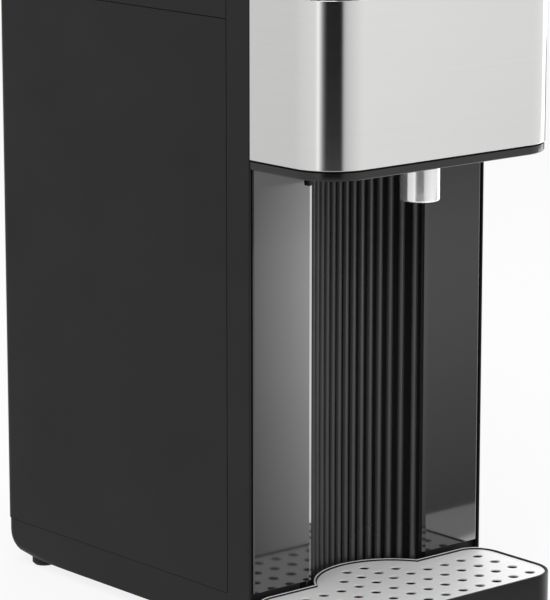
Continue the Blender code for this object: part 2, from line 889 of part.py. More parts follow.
def make_controls():
    """The top panel with its keys and display window, and the board below it."""
    back = seam_y - seat_gap
    panel = prism("control_panel", [front_path(0.0, back)], panel_level, panel_top, gloss_black)
    soften(panel.data, at_level(panel_top), fine_edge, 2)
    row_y = front - head_reach + key_row_inset
    window_y = front - window_row_reach
    key_names = ("lock_key", "temperature_key", "volume_key", "start_key")
    row_half = key_pitch * (len(key_names) - 1) / 2
    key_xs = [i * key_pitch - row_half for i in range(len(key_names))]

    def around(x, y, length, breadth, radius, grow):
        return rounded_box((x - length / 2 - grow, x + length / 2 + grow),
                           (y - breadth / 2 - grow, y + breadth / 2 + grow), radius + grow, radius + grow)

    for x in key_xs:
        cut(panel, prism("key_hole", [around(x, row_y, key_length, key_breadth, key_corner, key_clearance)],
                         panel_level - cut_over, panel_top + cut_over))
    cut(panel, prism("window_hole", [around(0.0, window_y, window_length, window_breadth, window_corner,
                                            seat_gap)], panel_level - cut_over, panel_top + cut_over))
    prism("display_window", [around(0.0, window_y, window_length, window_breadth, window_corner, 0.0)],
          panel_level, panel_top, smoke_plastic)

    board_top = panel_level - board_drop
    board_bottom = board_top - board_thickness
    board_y = (front - head_reach + board_front_inset, front - board_back_gap)
    board_half_length = row_half + board_margin
    posts = mirrored([(board_half_length - post_inset, board_y[0] + post_inset),
                      (board_half_length - post_inset, board_y[1] - post_inset)])
    board = block("control_board", (-board_half_length, board_half_length), board_y,
                  (board_bottom, board_top), board_green)
    for x, y in posts:
        fuse(panel, rod("panel_post", (x, y, board_top + seat_gap), (x, y, panel_level + fine_edge),
                        post_radius, sides=small_sides),
             rod("post_tip", (x, y, board_bottom - post_tip_drop), (x, y, board_top + fine_edge),
                 post_tip_radius, sides=small_sides))
        cut(board, rod("board_hole", (x, y, board_bottom - cut_over), (x, y, board_top + cut_over),
                       post_tip_radius + seat_gap, sides=small_sides))
    module_x = window_length / 2 - display_margin
    module_y = window_breadth / 2 - display_margin
    block("display_module", (-module_x, module_x), (window_y - module_y, window_y + module_y),
          (board_top + seat_gap, panel_level - seat_gap), grey_plastic)

    switch_top = board_top + switch_height
    half_switch = switch_side / 2
    for x in key_xs:
        fuse(board, block("key_switch", (x - half_switch, x + half_switch),
                          (row_y - half_switch, row_y + half_switch),
                          (board_top - board_thickness / 2, switch_top)))
    flange_top = panel_level - seat_gap
    flange_bottom = flange_top - key_flange_height
    for name, x in zip(key_names, key_xs):
        key = prism(name, [around(x, row_y, key_length, key_breadth, key_corner, 0.0)], flange_bottom,
                    panel_top + key_stand, gloss_black)
        soften(key.data, at_level(panel_top + key_stand), key_stand, 2)
        fuse(key, prism("key_flange", [around(x, row_y, key_length, key_breadth, key_corner, key_flange)],
                        flange_bottom, flange_top),
             block("key_stem", (x - key_stem / 2, x + key_stem / 2),
                   (row_y - key_stem / 2, row_y + key_stem / 2),
                   (switch_top + key_travel + seat_gap, flange_top)))
        moves(name + "_press", (x, row_y, panel_top), [key])


def make_deck():
    """The fixed deck between the control panel and the tank, with a scoop for a finger."""
    outline = rounded_box((-half_width, half_width), (seam_y, split_y), 0.0, 0.0)
    deck = prism("top_deck", [outline], top_seam, panel_top, black_plastic)
    soften(deck.data, at_level(panel_top), fine_edge, 2)
    inner = half_width - deck_wall
    cut(deck, block("deck_pocket", (-inner, inner), (seam_y + deck_wall, split_y - deck_rear_wall),
                    (top_seam - cut_over, panel_top - deck_wall)),
        rod("finger_scoop", (-scoop_half_width, split_y, panel_top + scoop_lift),
            (scoop_half_width, split_y, panel_top + scoop_lift), scoop_radius))


def make_cradle():
    """The inner wall and shelf that the tank stands on, and the valve seat in the shelf."""
    side = half_width - housing_wall - seat_gap
    back = rear - housing_wall - seat_gap
    cradle = prism("tank_cradle", [rounded_box((-side, side), (split_y, back), 0.0, cradle_corner)],
                   cradle_level, cradle_top, grey_plastic)
    fuse(cradle, block("cradle_wall", (-side, side), (split_y, split_y + cradle_wall),
                       (cradle_level, top_seam - seat_gap)))
    leg_x = half_width - cradle_leg_side
    legs = mirrored([(leg_x, split_y + cradle_leg / 2), (leg_x, back - cradle_leg_inset)])
    half_leg = cradle_leg / 2
    for x, y in legs:
        fuse(cradle, block("cradle_leg", (x - half_leg, x + half_leg), (y - half_leg, y + half_leg),
                           (base_floor_top + seat_gap, cradle_level + cradle_floor / 2)))
    cut(cradle, rod("seat_hole", (0.0, valve_y, cradle_level - cut_over),
                    (0.0, valve_y, cradle_top + cut_over), seat_radius + seat_gap))
    flange_top = cradle_level - seat_gap
    flange_bottom = flange_top - seat_flange_height
    bottom = cradle_top - seat_depth
    floor_top = bottom + seat_floor
    profile = [(0.0, floor_top + seat_pin_height), (seat_pin_radius, floor_top + seat_pin_height),
               (seat_pin_radius, floor_top), (seat_bore, floor_top), (seat_bore, cradle_top - seat_gap),
               (seat_radius, cradle_top - seat_gap), (seat_radius, flange_top), (seat_flange, flange_top),
               (seat_flange, flange_bottom), (seat_radius, flange_bottom), (seat_radius, bottom),
               (0.0, bottom)]
    turned("valve_seat", profile, 0.0, valve_y, grey_plastic, sides=inner_sides)
    return bottom, floor_top + seat_pin_height


def tank_box(inset, radius):
    """The tank's outline in plan, drawn in by an inset."""
    side = half_width - housing_wall - tank_side_clearance
    ends = (split_y + cradle_wall + tank_front_clearance, rear - housing_wall - tank_back_clearance)
    return rounded_box((inset - side, side - inset), (ends[0] + inset, ends[1] - inset), radius, radius)


def make_tank(pin_top):
    """The lift-out tank with its collar, hinged lid, valve and float."""
    tank = prism("water_tank", [tank_box(0.0, tank_corner)], tank_level, tank_top, tank_plastic)
    cut(tank, prism("tank_inside", [tank_box(tank_wall, tank_corner - tank_wall)], tank_floor_top,
                    tank_top + cut_over),
        rod("valve_hole", (0.0, valve_y, tank_level - cut_over), (0.0, valve_y, tank_floor_top + cut_over),
            valve_stem + valve_hole_clearance))

    collar_top = lid_level - seat_gap
    collar_y = (split_y + seat_gap, rear)
    outline = rounded_box((-half_width, half_width), collar_y, 0.0, housing_corner)
    collar = prism("tank_collar", [outline], top_seam, collar_top, black_plastic)
    rail_y = rear - rail_width
    rail_outline = rounded_box((-half_width, half_width), (rail_y, rear), 0.0, rail_width - fine_edge)
    rail_foot = [(rail_y, collar_top - fine_edge), (rear, collar_top - fine_edge)]
    rail_crest = arc(hinge_y, hinge_z, rail_width / 2, 0, 180, rail_steps)
    rail = side_prism("rail", rail_foot + rail_crest, -half_width, half_width)
    trim = rail.modifiers.new("trim", "BOOLEAN")
    trim.operation = "INTERSECT"
    trim.solver = "EXACT"
    trim.object = prism("rail_plan", [rail_outline], collar_top - 2 * fine_edge, panel_top + cut_over)
    fuse(collar, rail)
    groove = [tank_box(-seat_gap, tank_corner + seat_gap),
              tank_box(tank_wall + seat_gap, tank_corner - tank_wall - seat_gap)]
    mouth = tank_box(mouth_inset, mouth_corner)
    cut(collar, prism("rim_groove", groove, top_seam - cut_over, tank_top + seat_gap),
        prism("collar_mouth", [mouth], top_seam - cut_over, collar_top + cut_over),
        block("collar_grip", (-grip_half_width, grip_half_width), (rear - grip_depth, rear + cut_over),
              (top_seam + grip_rise, top_seam + grip_rise + grip_height)))

    lid_y = (split_y + seat_gap, rail_y - lid_clearance)
    lid = prism("tank_lid", [rounded_box((-half_width, half_width), lid_y, 0.0, 0.0)], lid_level, panel_top,
                black_plastic)
    soften(lid.data, at_level(panel_top), fine_edge, 2)
    skirt_inset = mouth_inset + skirt_clearance
    skirt_corner = mouth_corner - skirt_clearance
    skirt = [tank_box(skirt_inset, skirt_corner),
             tank_box(skirt_inset + skirt_wall, skirt_corner - skirt_wall)]
    fuse(lid, prism("lid_skirt", skirt, lid_level - skirt_height, lid_level + fine_edge))
    pins = []
    notch = knuckle_radius + notch_clearance
    for name, sign in (("lid_pin_left", -1), ("lid_pin_right", 1)):
        inner_x = sign * knuckle_start
        outer_x = sign * (knuckle_start + knuckle_length)
        across = sorted((inner_x, outer_x))
        cut(collar, block("knuckle_notch", (across[0] - notch_clearance, across[1] + notch_clearance),
                          (rail_y - cut_over, rear + cut_over), (hinge_z - notch, panel_top + cut_over)))
        fuse(lid, rod("knuckle", (inner_x, hinge_y, hinge_z), (outer_x, hinge_y, hinge_z), knuckle_radius,
                      sides=small_sides),
             block("knuckle_web", across, (lid_y[1] - fine_edge, hinge_y),
                   (hinge_z - fine_edge, hinge_z + fine_edge)))
        pin_ends = (inner_x - sign * pin_reach, outer_x + sign * pin_reach)
        pins.append(rod(name, (pin_ends[0], hinge_y, hinge_z), (pin_ends[1], hinge_y, hinge_z), pin_radius,
                        zinc, sides=small_sides))
        for target in (lid, collar):
            cut(target, rod("pin_bore", (pin_ends[0] - sign * seat_gap, hinge_y, hinge_z),
                            (pin_ends[1] + sign * seat_gap, hinge_y, hinge_z), pin_radius + seat_gap,
                            sides=small_sides))

    valve, seal, plunger, spring = make_valve(pin_top)
    guide, float_ring = make_float()
    docked = moves("tank_lift", (0.0, valve_y, tank_level), [tank, collar, valve, seal, guide] + pins)
    moves("lid_hinge", (0.0, hinge_y, hinge_z), [lid], docked)
    moves("valve_press", (0.0, valve_y, pin_top), [plunger, spring], docked)
    moves("float_rise", (float_x, valve_y, tank_floor_top), [float_ring], docked)


def make_valve(pin_top):
    """The tank's outlet valve: body, seal ring, plunger and closing spring."""
    flange_bottom = tank_floor_top + seat_gap
    flange_top = flange_bottom + valve_flange_height
    stem_bottom = flange_top - valve_stem_length - valve_flange_height
    bore_top = stem_bottom + valve_bore_depth
    profile = [(valve_throat, flange_top), (valve_flange, flange_top), (valve_flange, flange_bottom),
               (valve_stem, flange_bottom), (valve_stem, stem_bottom), (valve_bore, stem_bottom),
               (valve_bore, bore_top), (valve_throat, bore_top)]
    valve = turned("tank_valve", profile, 0.0, valve_y, white_plastic, ring=True, sides=inner_sides)
    seal_radius = (valve_stem + seat_bore) / 2
    seal_z = cradle_top - seal_drop
    section = arc(seal_radius, seal_z, seal_thickness / 2, 90, -270, seal_steps)[:-1]
    seal = turned("valve_seal", section, 0.0, valve_y, rubber, ring=True, sides=inner_sides)
    bottom = pin_top + seat_gap
    head_bottom = flange_top + plunger_lift
    foot_bottom = bottom + plunger_foot_rise
    foot_top = foot_bottom + plunger_foot_height
    profile = [(0.0, head_bottom + plunger_head_height),
               (plunger_head_radius, head_bottom + plunger_head_height), (plunger_head_radius, head_bottom),
               (plunger_stem, head_bottom), (plunger_stem, foot_top), (plunger_foot_radius, foot_top),
               (plunger_foot_radius, foot_bottom), (plunger_stem, foot_bottom), (plunger_stem, bottom),
               (0.0, bottom)]
    plunger = turned("valve_plunger", profile, 0.0, valve_y, white_plastic, sides=small_sides)
    start = foot_top + seat_gap + spring_wire
    rise = bore_top - seat_gap - spring_wire - start
    total = spring_turns * spring_points
    coil = bpy.data.curves.new("valve_spring", "CURVE")
    coil.dimensions = "3D"
    coil.bevel_depth = spring_wire
    coil.bevel_resolution = 1
    coil.use_fill_caps = True
    wire = coil.splines.new("POLY")
    wire.points.add(total)
    for i, point in enumerate(wire.points):
        angle = 2 * math.pi * i / spring_points
        point.co = (spring_radius * math.cos(angle), valve_y + spring_radius * math.sin(angle),
                    start + rise * i / total, 1.0)
    coil.materials.append(zinc)
    spring = bpy.data.objects.new("valve_spring", coil)
    parts.objects.link(spring)
    points = [Vector(point.co[:3]) for point in wire.points]
    gaps = [(points[i] - points[j]).length for i in range(total + 1)
            for j in range(i + spring_points // 2, total + 1)]
    print("valve_spring: least gap between turns", round(min(gaps) - 2 * spring_wire, 6), "m")
    return valve, seal, plunger, spring


def make_float():
    """The level float and the rod that guides it."""
    base = tank_floor_top + seat_gap
    base_top = base + guide_base_height
    top = tank_top - guide_top_gap
    stop = top - guide_stop_height
    profile = [(0.0, top), (guide_stop_radius, top), (guide_stop_radius, stop), (guide_radius, stop),
               (guide_radius, base_top), (guide_base_radius, base_top), (guide_base_radius, base),
               (0.0, base)]
    guide = turned("float_guide", profile, float_x, valve_y, white_plastic, sides=small_sides)
    low = base_top + seat_gap
    high = low + float_height
    profile = [(float_bore, high), (float_radius - float_edge, high), (float_radius, high - float_edge),
               (float_radius, low + float_edge), (float_radius - float_edge, low), (float_bore, low)]
    float_ring = turned("tank_float", profile, float_x, valve_y, white_plastic, ring=True,
                        sides=small_sides)
    return guide, float_ring


def make_heater():
    """The flow heater with its clamp, cut-out and sensor."""
    low = under + heater_rise
    high = low + heater_height
    shoulder = heater_radius - heater_shoulder
    profile = [(0.0, high + heater_port_length), (heater_port, high + heater_port_length),
               (heater_port, high), (shoulder, high), (heater_radius, high - heater_shoulder),
               (heater_radius, low + heater_shoulder), (shoulder, low), (heater_port, low),
               (heater_port, low - heater_port_length), (0.0, low - heater_port_length)]
    turned("heater_body", profile, 0.0, heater_y, brushed_steel, sides=inner_sides)
    wall_y = split_y - seat_gap
    middle = (low + high) / 2
    clamp_low = middle - clamp_height / 2
    clamp_high = middle + clamp_height / 2
    bracket = rod("heater_bracket", (0.0, heater_y, clamp_low), (0.0, heater_y, clamp_high),
                  heater_radius + seat_gap + clamp_wall, zinc)
    fuse(bracket, block("clamp_tab", (-clamp_tab_half_width, clamp_tab_half_width),
                        (heater_y, wall_y - fine_edge), (clamp_low, clamp_high)),
         block("clamp_plate", (-clamp_plate_half_width, clamp_plate_half_width),
               (wall_y - clamp_plate_thickness, wall_y),
               (middle - clamp_plate_height / 2, middle + clamp_plate_height / 2)))
    cut(bracket, rod("clamp_bore", (0.0, heater_y, clamp_low - cut_over),
                     (0.0, heater_y, clamp_high + cut_over), heater_radius + seat_gap))
    x = heater_radius + seat_gap
    z = high - cutout_drop
    cutout = rod("thermal_cutout", (x, heater_y, z), (x + cutout_length, heater_y, z), cutout_radius,
                 white_plastic, small_sides)
    for side in (-1, 1):
        y = heater_y + side * cutout_terminal_side
        fuse(cutout, block("terminal", (x + cutout_length / 2, x + cutout_length + cutout_terminal_length),
                           (y - cutout_terminal / 2, y + cutout_terminal / 2),
                           (z - cutout_terminal_side, z + cutout_terminal_side)))
    z = high - sensor_drop
    rod("temperature_sensor", (-x, heater_y, z), (-x - sensor_length, heater_y, z), sensor_radius,
        chrome, small_sides)
    return low - heater_port_length, high + heater_port_length


def make_pump():
    """The pump on the base floor with its motor on top."""
    low = base_floor_top + seat_gap
    high = low + pump_height
    pump = rod("pump_housing", (pump_side, pump_y, low), (pump_side, pump_y, high), pump_radius,
               grey_plastic, inner_sides)
    port_z = (low + high) / 2
    fuse(pump, rod("inlet_port", (pump_side, pump_y, port_z),
                   (pump_side, pump_y + pump_radius + pump_port_length, port_z), pump_port,
                   sides=small_sides),
         rod("outlet_port", (pump_side, pump_y, port_z),
             (pump_side - pump_radius - pump_port_length, pump_y, port_z), pump_port, sides=small_sides))
    motor_low = high + seat_gap
    motor_high = motor_low + motor_height
    profile = [(0.0, motor_high), (motor_radius - motor_edge, motor_high),
               (motor_radius, motor_high - motor_edge), (motor_radius, motor_low), (0.0, motor_low)]
    turned("pump_motor", profile, pump_side, pump_y, zinc, sides=inner_sides)
    return port_z


def make_power_board():
    """The power board on the housing's left wall, with relays and a capacitor."""
    wall_x = housing_wall + seat_gap - half_width
    board_x = wall_x + power_board_side_gap
    face_x = board_x + power_board_thickness
    y0 = front + power_board_back
    z0 = under + power_board_rise
    board = block("power_board", (board_x, face_x), (y0, y0 + power_board_length),
                  (z0, z0 + power_board_height), board_green)
    inset = 2 * standoff_radius
    for y in (y0 + inset, y0 + power_board_length - inset):
        for z in (z0 + inset, z0 + power_board_height - inset):
            fuse(board, rod("standoff", (wall_x, y, z), (face_x - power_board_thickness / 2, y, z),
                            standoff_radius, sides=small_sides))
    depth, breadth, height = relay_size
    base_x = face_x - power_board_thickness / 2
    for i in range(2):
        y = y0 + inset + i * relay_pitch
        fuse(board, block("relay", (base_x, base_x + depth), (y, y + breadth),
                          (z0 + 2 * inset, z0 + 2 * inset + height)))
    z = z0 + power_board_height - 2 * inset - capacitor_radius
    y = y0 + power_board_length / 2
    fuse(board, rod("capacitor", (base_x, y, z), (base_x + capacitor_length, y, z), capacitor_radius,
                    sides=small_sides))


def make_hoses(seat_bottom, port_z, heater_low, heater_high, outlet_top):
    """The three water hoses, each with its route chosen by hand between its two ports."""
    lead = 2 * hose_radius
    seat_end = seat_bottom - seat_gap
    inlet_y = pump_y + pump_radius + pump_port_length + seat_gap
    bend_z = (seat_end + port_z) / 2
    hose("inlet_hose", [(0.0, valve_y, seat_end), (0.0, valve_y, seat_end - lead),
                        (lead, valve_y - lead, bend_z - lead / 2),
                        (pump_side - lead, inlet_y + 2 * lead, port_z), (pump_side, inlet_y + lead, port_z),
                        (pump_side, inlet_y, port_z)], hose_radius, silicone)
    outlet_x = pump_side - pump_radius - pump_port_length - seat_gap
    heater_end = heater_low - seat_gap
    hose("feed_hose", [(outlet_x, pump_y, port_z), (outlet_x - lead / 2, pump_y, port_z),
                       (0.0, pump_y - lead / 2, port_z + lead), (0.0, heater_y, heater_end - lead / 2),
                       (0.0, heater_y, heater_end)], hose_radius, silicone)
    start = heater_high + seat_gap
    finish_z = outlet_top + seat_gap
    window_z = panel_level - seat_gap - window_drop - window_height / 2
    hose("outlet_hose", [(0.0, heater_y, start), (0.0, heater_y, start + lead),
                         (0.0, web_back + 2 * lead, window_z), (0.0, web_front - lead, window_z),
                         (0.0, spout_y, finish_z + lead / 2), (0.0, spout_y, finish_z)], hose_radius,
         silicone)


def tray_outline(inset):
    """The tray in plan: rounded in front, with a bay that reaches into the niche."""
    side = half_width - inset
    lead = front - tray_reach + inset
    back = front + tray_back - inset
    front_radius = tray_front_corner - inset
    rear_radius = tray_rear_corner - inset
    bay = niche_radius - rib_height - bay_clearance - inset
    return (arc(front_radius - side, lead + front_radius, front_radius, 180, 270)
            + arc(side - front_radius, lead + front_radius, front_radius, 270, 360)
            + arc(side - rear_radius, back - rear_radius, rear_radius, 0, 90)
            + bay_arc(bay, back) + arc(rear_radius - side, back - rear_radius, rear_radius, 90, 180))


def make_tray():
    """The drip tray that slides over the tongue, and the perforated cover in its rim."""
    rim_top = under + tray_rim_rise
    grille_top = rim_top - grille_drop
    grille_bottom = grille_top - grille_thickness
    ledge = grille_bottom - seat_gap
    basin = tongue_top + seat_gap + tray_floor
    tray = prism("drip_tray", [tray_outline(0.0)], under + tray_lift, rim_top, black_plastic)
    soften(tray.data, at_level(rim_top), tray_edge, 2)
    way = tongue_half_width + 2 * seat_gap
    tongue_space = rounded_box((-way, way), (tongue_front - 2 * seat_gap, front + niche_depth),
                               tongue_corner, 0.0)
    cut(tray, prism("cover_recess", [tray_outline(tray_rim)], ledge, rim_top + cut_over),
        prism("basin", [tray_outline(tray_wall)], basin, rim_top + cut_over),
        prism("tongue_space", [tongue_space], under - cut_over, tongue_top + seat_gap))
    outlines = [tray_outline(tray_rim + seat_gap)]
    hole_columns = 2 * int((half_width - hole_side_margin) / hole_pitch)
    hole_rows = int((tray_reach - hole_front_margin) / hole_row_pitch)
    rows = [(front - i * hole_row_pitch, hole_columns) for i in range(1, hole_rows + 1)]
    rows += [(front - bay_row_reach, bay_row_columns), (front + inner_row_back, inner_row_columns)]
    for y, columns in rows:
        for i in range(columns):
            x = (i - (columns - 1) / 2) * hole_pitch
            outlines.append(arc(x, y, hole_radius, 0, 360, hole_sides)[:-1])
    grille = prism("drip_grille", outlines, grille_bottom, grille_top, brushed_steel)
    slide = moves("tray_slide", (0.0, front - tray_reach, tongue_top), [tray])
    moves("grille_lift", (0.0, front - tray_reach / 2, grille_bottom), [grille], slide)


housing_bosses = make_base()
make_housing(housing_bosses)
make_front()
make_head()
spout_end = make_spout()
make_controls()
make_deck()
cup_bottom, cup_pin_top = make_cradle()
make_tank(cup_pin_top)
heater_bottom, heater_top = make_heater()
pump_port_z = make_pump()
make_power_board()
make_hoses(cup_bottom, pump_port_z, heater_bottom, heater_top, spout_end)
make_tray()
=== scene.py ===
"""The looks of a counter-top hot water dispenser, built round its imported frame."""

import json
import math

import bmesh
import bpy
from mathutils import Matrix, Vector


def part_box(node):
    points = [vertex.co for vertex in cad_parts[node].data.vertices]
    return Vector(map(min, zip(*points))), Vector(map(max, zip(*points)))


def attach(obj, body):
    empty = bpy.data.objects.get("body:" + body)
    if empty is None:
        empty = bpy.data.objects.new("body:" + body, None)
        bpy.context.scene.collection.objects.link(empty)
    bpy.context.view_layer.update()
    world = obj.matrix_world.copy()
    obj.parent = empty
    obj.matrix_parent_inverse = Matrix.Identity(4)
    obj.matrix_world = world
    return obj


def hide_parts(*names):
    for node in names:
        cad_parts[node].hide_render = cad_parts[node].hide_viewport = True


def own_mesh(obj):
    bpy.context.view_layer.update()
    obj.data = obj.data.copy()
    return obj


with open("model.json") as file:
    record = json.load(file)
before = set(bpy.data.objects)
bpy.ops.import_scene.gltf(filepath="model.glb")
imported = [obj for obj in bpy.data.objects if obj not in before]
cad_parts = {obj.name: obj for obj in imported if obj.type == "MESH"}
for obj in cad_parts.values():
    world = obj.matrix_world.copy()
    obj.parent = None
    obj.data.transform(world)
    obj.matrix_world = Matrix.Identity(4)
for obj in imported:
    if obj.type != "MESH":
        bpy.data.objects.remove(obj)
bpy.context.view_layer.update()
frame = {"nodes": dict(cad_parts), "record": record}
record = frame["record"]
body_of = {name: body for body, names in record["behaviour"]["bodies"].items() for name in names}
slot_of = {part["node"]: part["material_slot"] for part in record["subparts"]}
# The CAD nodes that a piece of the scene stands for
shown = set()

# Photograph and camera
image_height = 600
focal_pixels = 3322
sensor = 36.0
camera_place = Vector((-1.11184, -1.29557, 0.51659))
camera_aim = Vector((0.6368, 0.7427, -0.2069))
camera_near = 0.05
camera_far = 50.0

# Modelling
weld = 0.00001
flat_angle = math.radians(0.5)
smooth_angle = math.radians(38)
sharp_angle = math.radians(42)
wing_angle = math.radians(12)
normal_weight = 80
turn_sides = 96
corner_steps = 24
small_corner_steps = 8
edge_steps = 3
bevel_steps = 2
bevel_profile_share = 0.5

# Edges rounded on copies of CAD pieces
rounded = {"rear_housing": 0.0002, "front_frame": 0.0003, "base_pan": 0.0002, "head_bottom_cover": 0.0004,
           "control_panel": 0.0003, "top_deck": 0.0002, "tank_collar": 0.0002, "tank_lid": 0.0003,
           "drip_tray": 0.0003}

# Head band
head_corner = 0.024
band_thickness = 0.0008
band_edge = 0.00035
band_lift = 0.0006

# Fluted niche
niche_half_width = 0.0396
niche_depth = 0.026
niche_wall = 0.0018
niche_flange = 0.0037
rib_count = 18
rib_width = 0.0034
rib_height = 0.0015
rib_root = 0.0003
rib_steps = 16
rib_power = 2.8
niche_steps = 64

# Gloss wings
wing_lip = 0.0010
wing_bevel_width = 0.0020
wing_bevel_depth = 0.00075
wing_outer_edge = 0.0009
wing_fine_edge = 0.0003

# Clips at the wings' inner top corners
clip_width = 0.0026
clip_reach = 0.0016
clip_height = 0.0117
clip_corner = 0.0008
clip_edge = 0.0006

# Spout
sleeve_bore = 0.0086
sleeve_radius = 0.010
sleeve_flange = 0.0125
sleeve_flange_height = 0.0015
sleeve_lip = 0.0009
lip_steps = 6
outlet_bore = 0.0035
outlet_height = 0.014
barb_radius = 0.0055
outlet_edge = 0.0006
outlet_cone = 0.0020

# Drip cover
tray_front_corner = 0.018
tray_rear_corner = 0.014
tray_rim = 0.0014
tray_back = 0.0014
bay_clearance = 0.003
seat_gap = 0.0003
cover_edge = 0.00012
hole_radius = 0.0027
hole_sides = 32
hole_pitch = 0.012
hole_side_margin = 0.0075
hole_row_pitch = 0.013
hole_front_margin = 0.008
bay_row_reach = 0.0015
bay_row_columns = 4
inner_row_back = 0.0095
inner_row_columns = 2

# Painted highlight on the tray's rear rim: a thin bright steel strip laid on its top
rim_highlight_inset = 0.0002
rim_highlight_width = 0.0009
rim_highlight_root = 0.0002
rim_highlight_rise = 0.0001

# Marks on the keys and the display
mark_root = 0.0002
mark_rise = 0.00002

# Signs on the keys
sign_steps = 12
sign_low = -0.0014
lock_half = 0.0011
lock_shoulder = 0.0002
lock_bow = 0.0007
lock_bow_wall = 0.0003
bulb_radius = 0.0007
bulb_place = -0.0008
stem_radius = 0.0003
stem_top = 0.0012
bar_count = 3
bar_half = 0.0003
bar_pitch = 0.0010
bar_step = 0.0006
first_bar_steps = 2
ring_radius = 0.0013
ring_wall = 0.0003
ring_gap = 32
dash_low = 0.0003

# Digits on the display
digit_text = "100"
digit_unit = 0.0036
digit_stroke = 0.00032
digit_gap = 0.00015
digit_pitch = 0.0068
# The middles of a digit's strokes across and up, in digit units
stroke_middles = {"a": (0.0, 1.0), "b": (0.5, 0.5), "c": (0.5, -0.5), "d": (0.0, -1.0),
                  "e": (-0.5, -0.5), "f": (-0.5, 0.5)}
flat_strokes = "ad"
lit_strokes = {"0": "abcdef", "1": "bc"}

# Finishes
noise_low = 0.3
noise_high = 0.7
coat_roughness = 0.03
clear_share = 0.92
clear_ior = 1.49
# Noise scales along x, y and z, small along the axes that the brush lines follow
lines_round_head = (4.0, 4.0, 7000.0)
lines_across_cover = (8.0, 5000.0, 8.0)
plain_grain = (900.0, 900.0, 900.0)

# Stage
floor_radius = 9.0
floor_sides = 64
floor_grey = 0.86
floor_roughness = 0.9
floor_glow_share = 0.85
world_level = 0.55
wall_radius = 1.2
wall_height = 1.1
disc_height = 0.0004
card_left = -0.024
card_right = 0.155
card_low = 0.019
card_high = 0.2165
card_gap = 0.010
# Lamps: place, aim, width and height, and power
lamps = {
    "key": ((-1.6, -1.2, 1.9), (0.0, 0.0, 0.15), (1.4, 1.4), 26.0),
    "fill": ((1.5, -1.5, 1.4), (0.0, 0.0, 0.15), (1.2, 1.2), 12.0),
    "top": ((0.0, 0.2, 2.2), (0.0, 0.0, 0.3), (1.6, 1.6), 14.0),
}

# Tones that polished faces mirror
tone_limit = 5.0
# The floor's level near the object, and the reaches between which it fades out
disc_level = 0.80
disc_reach = 1.0
disc_end = 1.06
# Tones of the wall: azimuth in degrees round the head's left corner, and level
ring_tones = ((-180, 0.92), (-171, 0.95), (-164, 1.33), (-161.3, 1.02), (-157.8, 0.66),
              (-153.8, 0.28), (-148, 0.05), (-144, 0.012), (-112.5, 0.012), (-109, 0.12),
              (-106, 0.50), (-102.5, 0.64), (-97, 0.76), (-81, 0.88), (-66, 0.97), (-52, 1.02),
              (-47, 1.00), (-42, 0.95), (-22, 1.00), (-5, 1.02), (1.5, 2.20), (16, 1.90),
              (34, 1.60), (48, 1.05), (110, 0.92), (130.6, 0.79), (150, 0.86), (180, 0.92))
# Shares of those tones by height on the wall
wall_shares = ((0.03, 0.95), (0.12, 0.98), (0.20, 1.0))
# The share that a dark strip takes away, by azimuth and by height
dark_shares = ((16, 0.0), (20, 0.82), (50, 0.82), (58, 0.0))
dark_height_shares = ((0.150, 1.0), (0.170, 0.0))
# What a bright strip adds, by azimuth, and its shares by height
strip_tones = ((-12, 0.0), (-9.5, 1.95), (-3.5, 1.95), (-1, 0.60), (34, 0.60), (48, 0.0))
strip_shares = ((0.048, 1.0), (0.060, 0.0))
# Tones of the card across it
across_tones = ((-0.0245, 0.90), (-0.0161, 1.10), (-0.0044, 1.45), (0.0083, 1.85), (0.0231, 2.45),
                (0.0260, 2.45), (0.0320, 0.78), (0.0866, 0.60), (0.1078, 0.56), (0.1555, 0.53))
# Shares of those tones by height on the card
upright_shares = ((-0.0304, 0.40), (0.0225, 0.47), (0.0458, 0.59), (0.0681, 0.68), (0.0908, 0.77),
                  (0.1136, 0.88), (0.1358, 0.95), (0.1591, 1.0), (0.1814, 0.98), (0.2152, 0.80),
                  (0.2301, 0.74))


# Objects
def linked(name, data):
    """A new object in the scene."""
    obj = bpy.data.objects.new(name, data)
    bpy.context.scene.collection.objects.link(obj)
    return obj


# Camera
def make_camera():
    """A camera at the photograph's viewing angle."""
    data = bpy.data.cameras.new("camera")
    data.sensor_width = sensor
    data.sensor_fit = "AUTO"
    data.lens = focal_pixels * sensor / image_height
    data.clip_start = camera_near
    data.clip_end = camera_far
    camera = linked("camera", data)
    camera.location = camera_place
    camera.rotation_euler = camera_aim.to_track_quat("-Z", "Y").to_euler()
    bpy.context.scene.camera = camera


# Materials
def shader_of(made):
    """A material's Principled shader."""
    return made.node_tree.nodes["Principled BSDF"]


def surface_of(made):
    """The socket that a material's surface goes into."""
    return made.node_tree.nodes["Material Output"].inputs["Surface"]


def material(name, colour, roughness, metallic=0.0, specular=0.5, more=None):
    """A Principled material, with more of the shader's values by socket name."""
    made = bpy.data.materials.new(name)
    made.use_nodes = True
    values = {"Base Color": (*colour, 1.0), "Roughness": roughness, "Metallic": metallic,
              "Specular IOR Level": specular, **(more or {})}
    for socket_name, value in values.items():
        shader_of(made).inputs[socket_name].default_value = value
    return made


def node(made, kind, **values):
    """A new node with the given sockets or settings."""
    made_node = made.node_tree.nodes.new(kind)
    for name, value in values.items():
        socket = made_node.inputs.get(name.replace("_", " ").title())
        if socket is None:
            setattr(made_node, name, value)
        else:
            socket.default_value = value
    return made_node


def link(made, source, target):
    """Joins an output socket to an input socket."""
    made.node_tree.links.new(source, target)


def maths(made, operation, *values):
    """The result of a math node on numbers and sockets."""
    step = node(made, "ShaderNodeMath", operation=operation)
    for socket, value in zip(step.inputs, values):
        if isinstance(value, (int, float)):
            socket.default_value = value
        else:
            link(made, value, socket)
    return step.outputs["Value"]


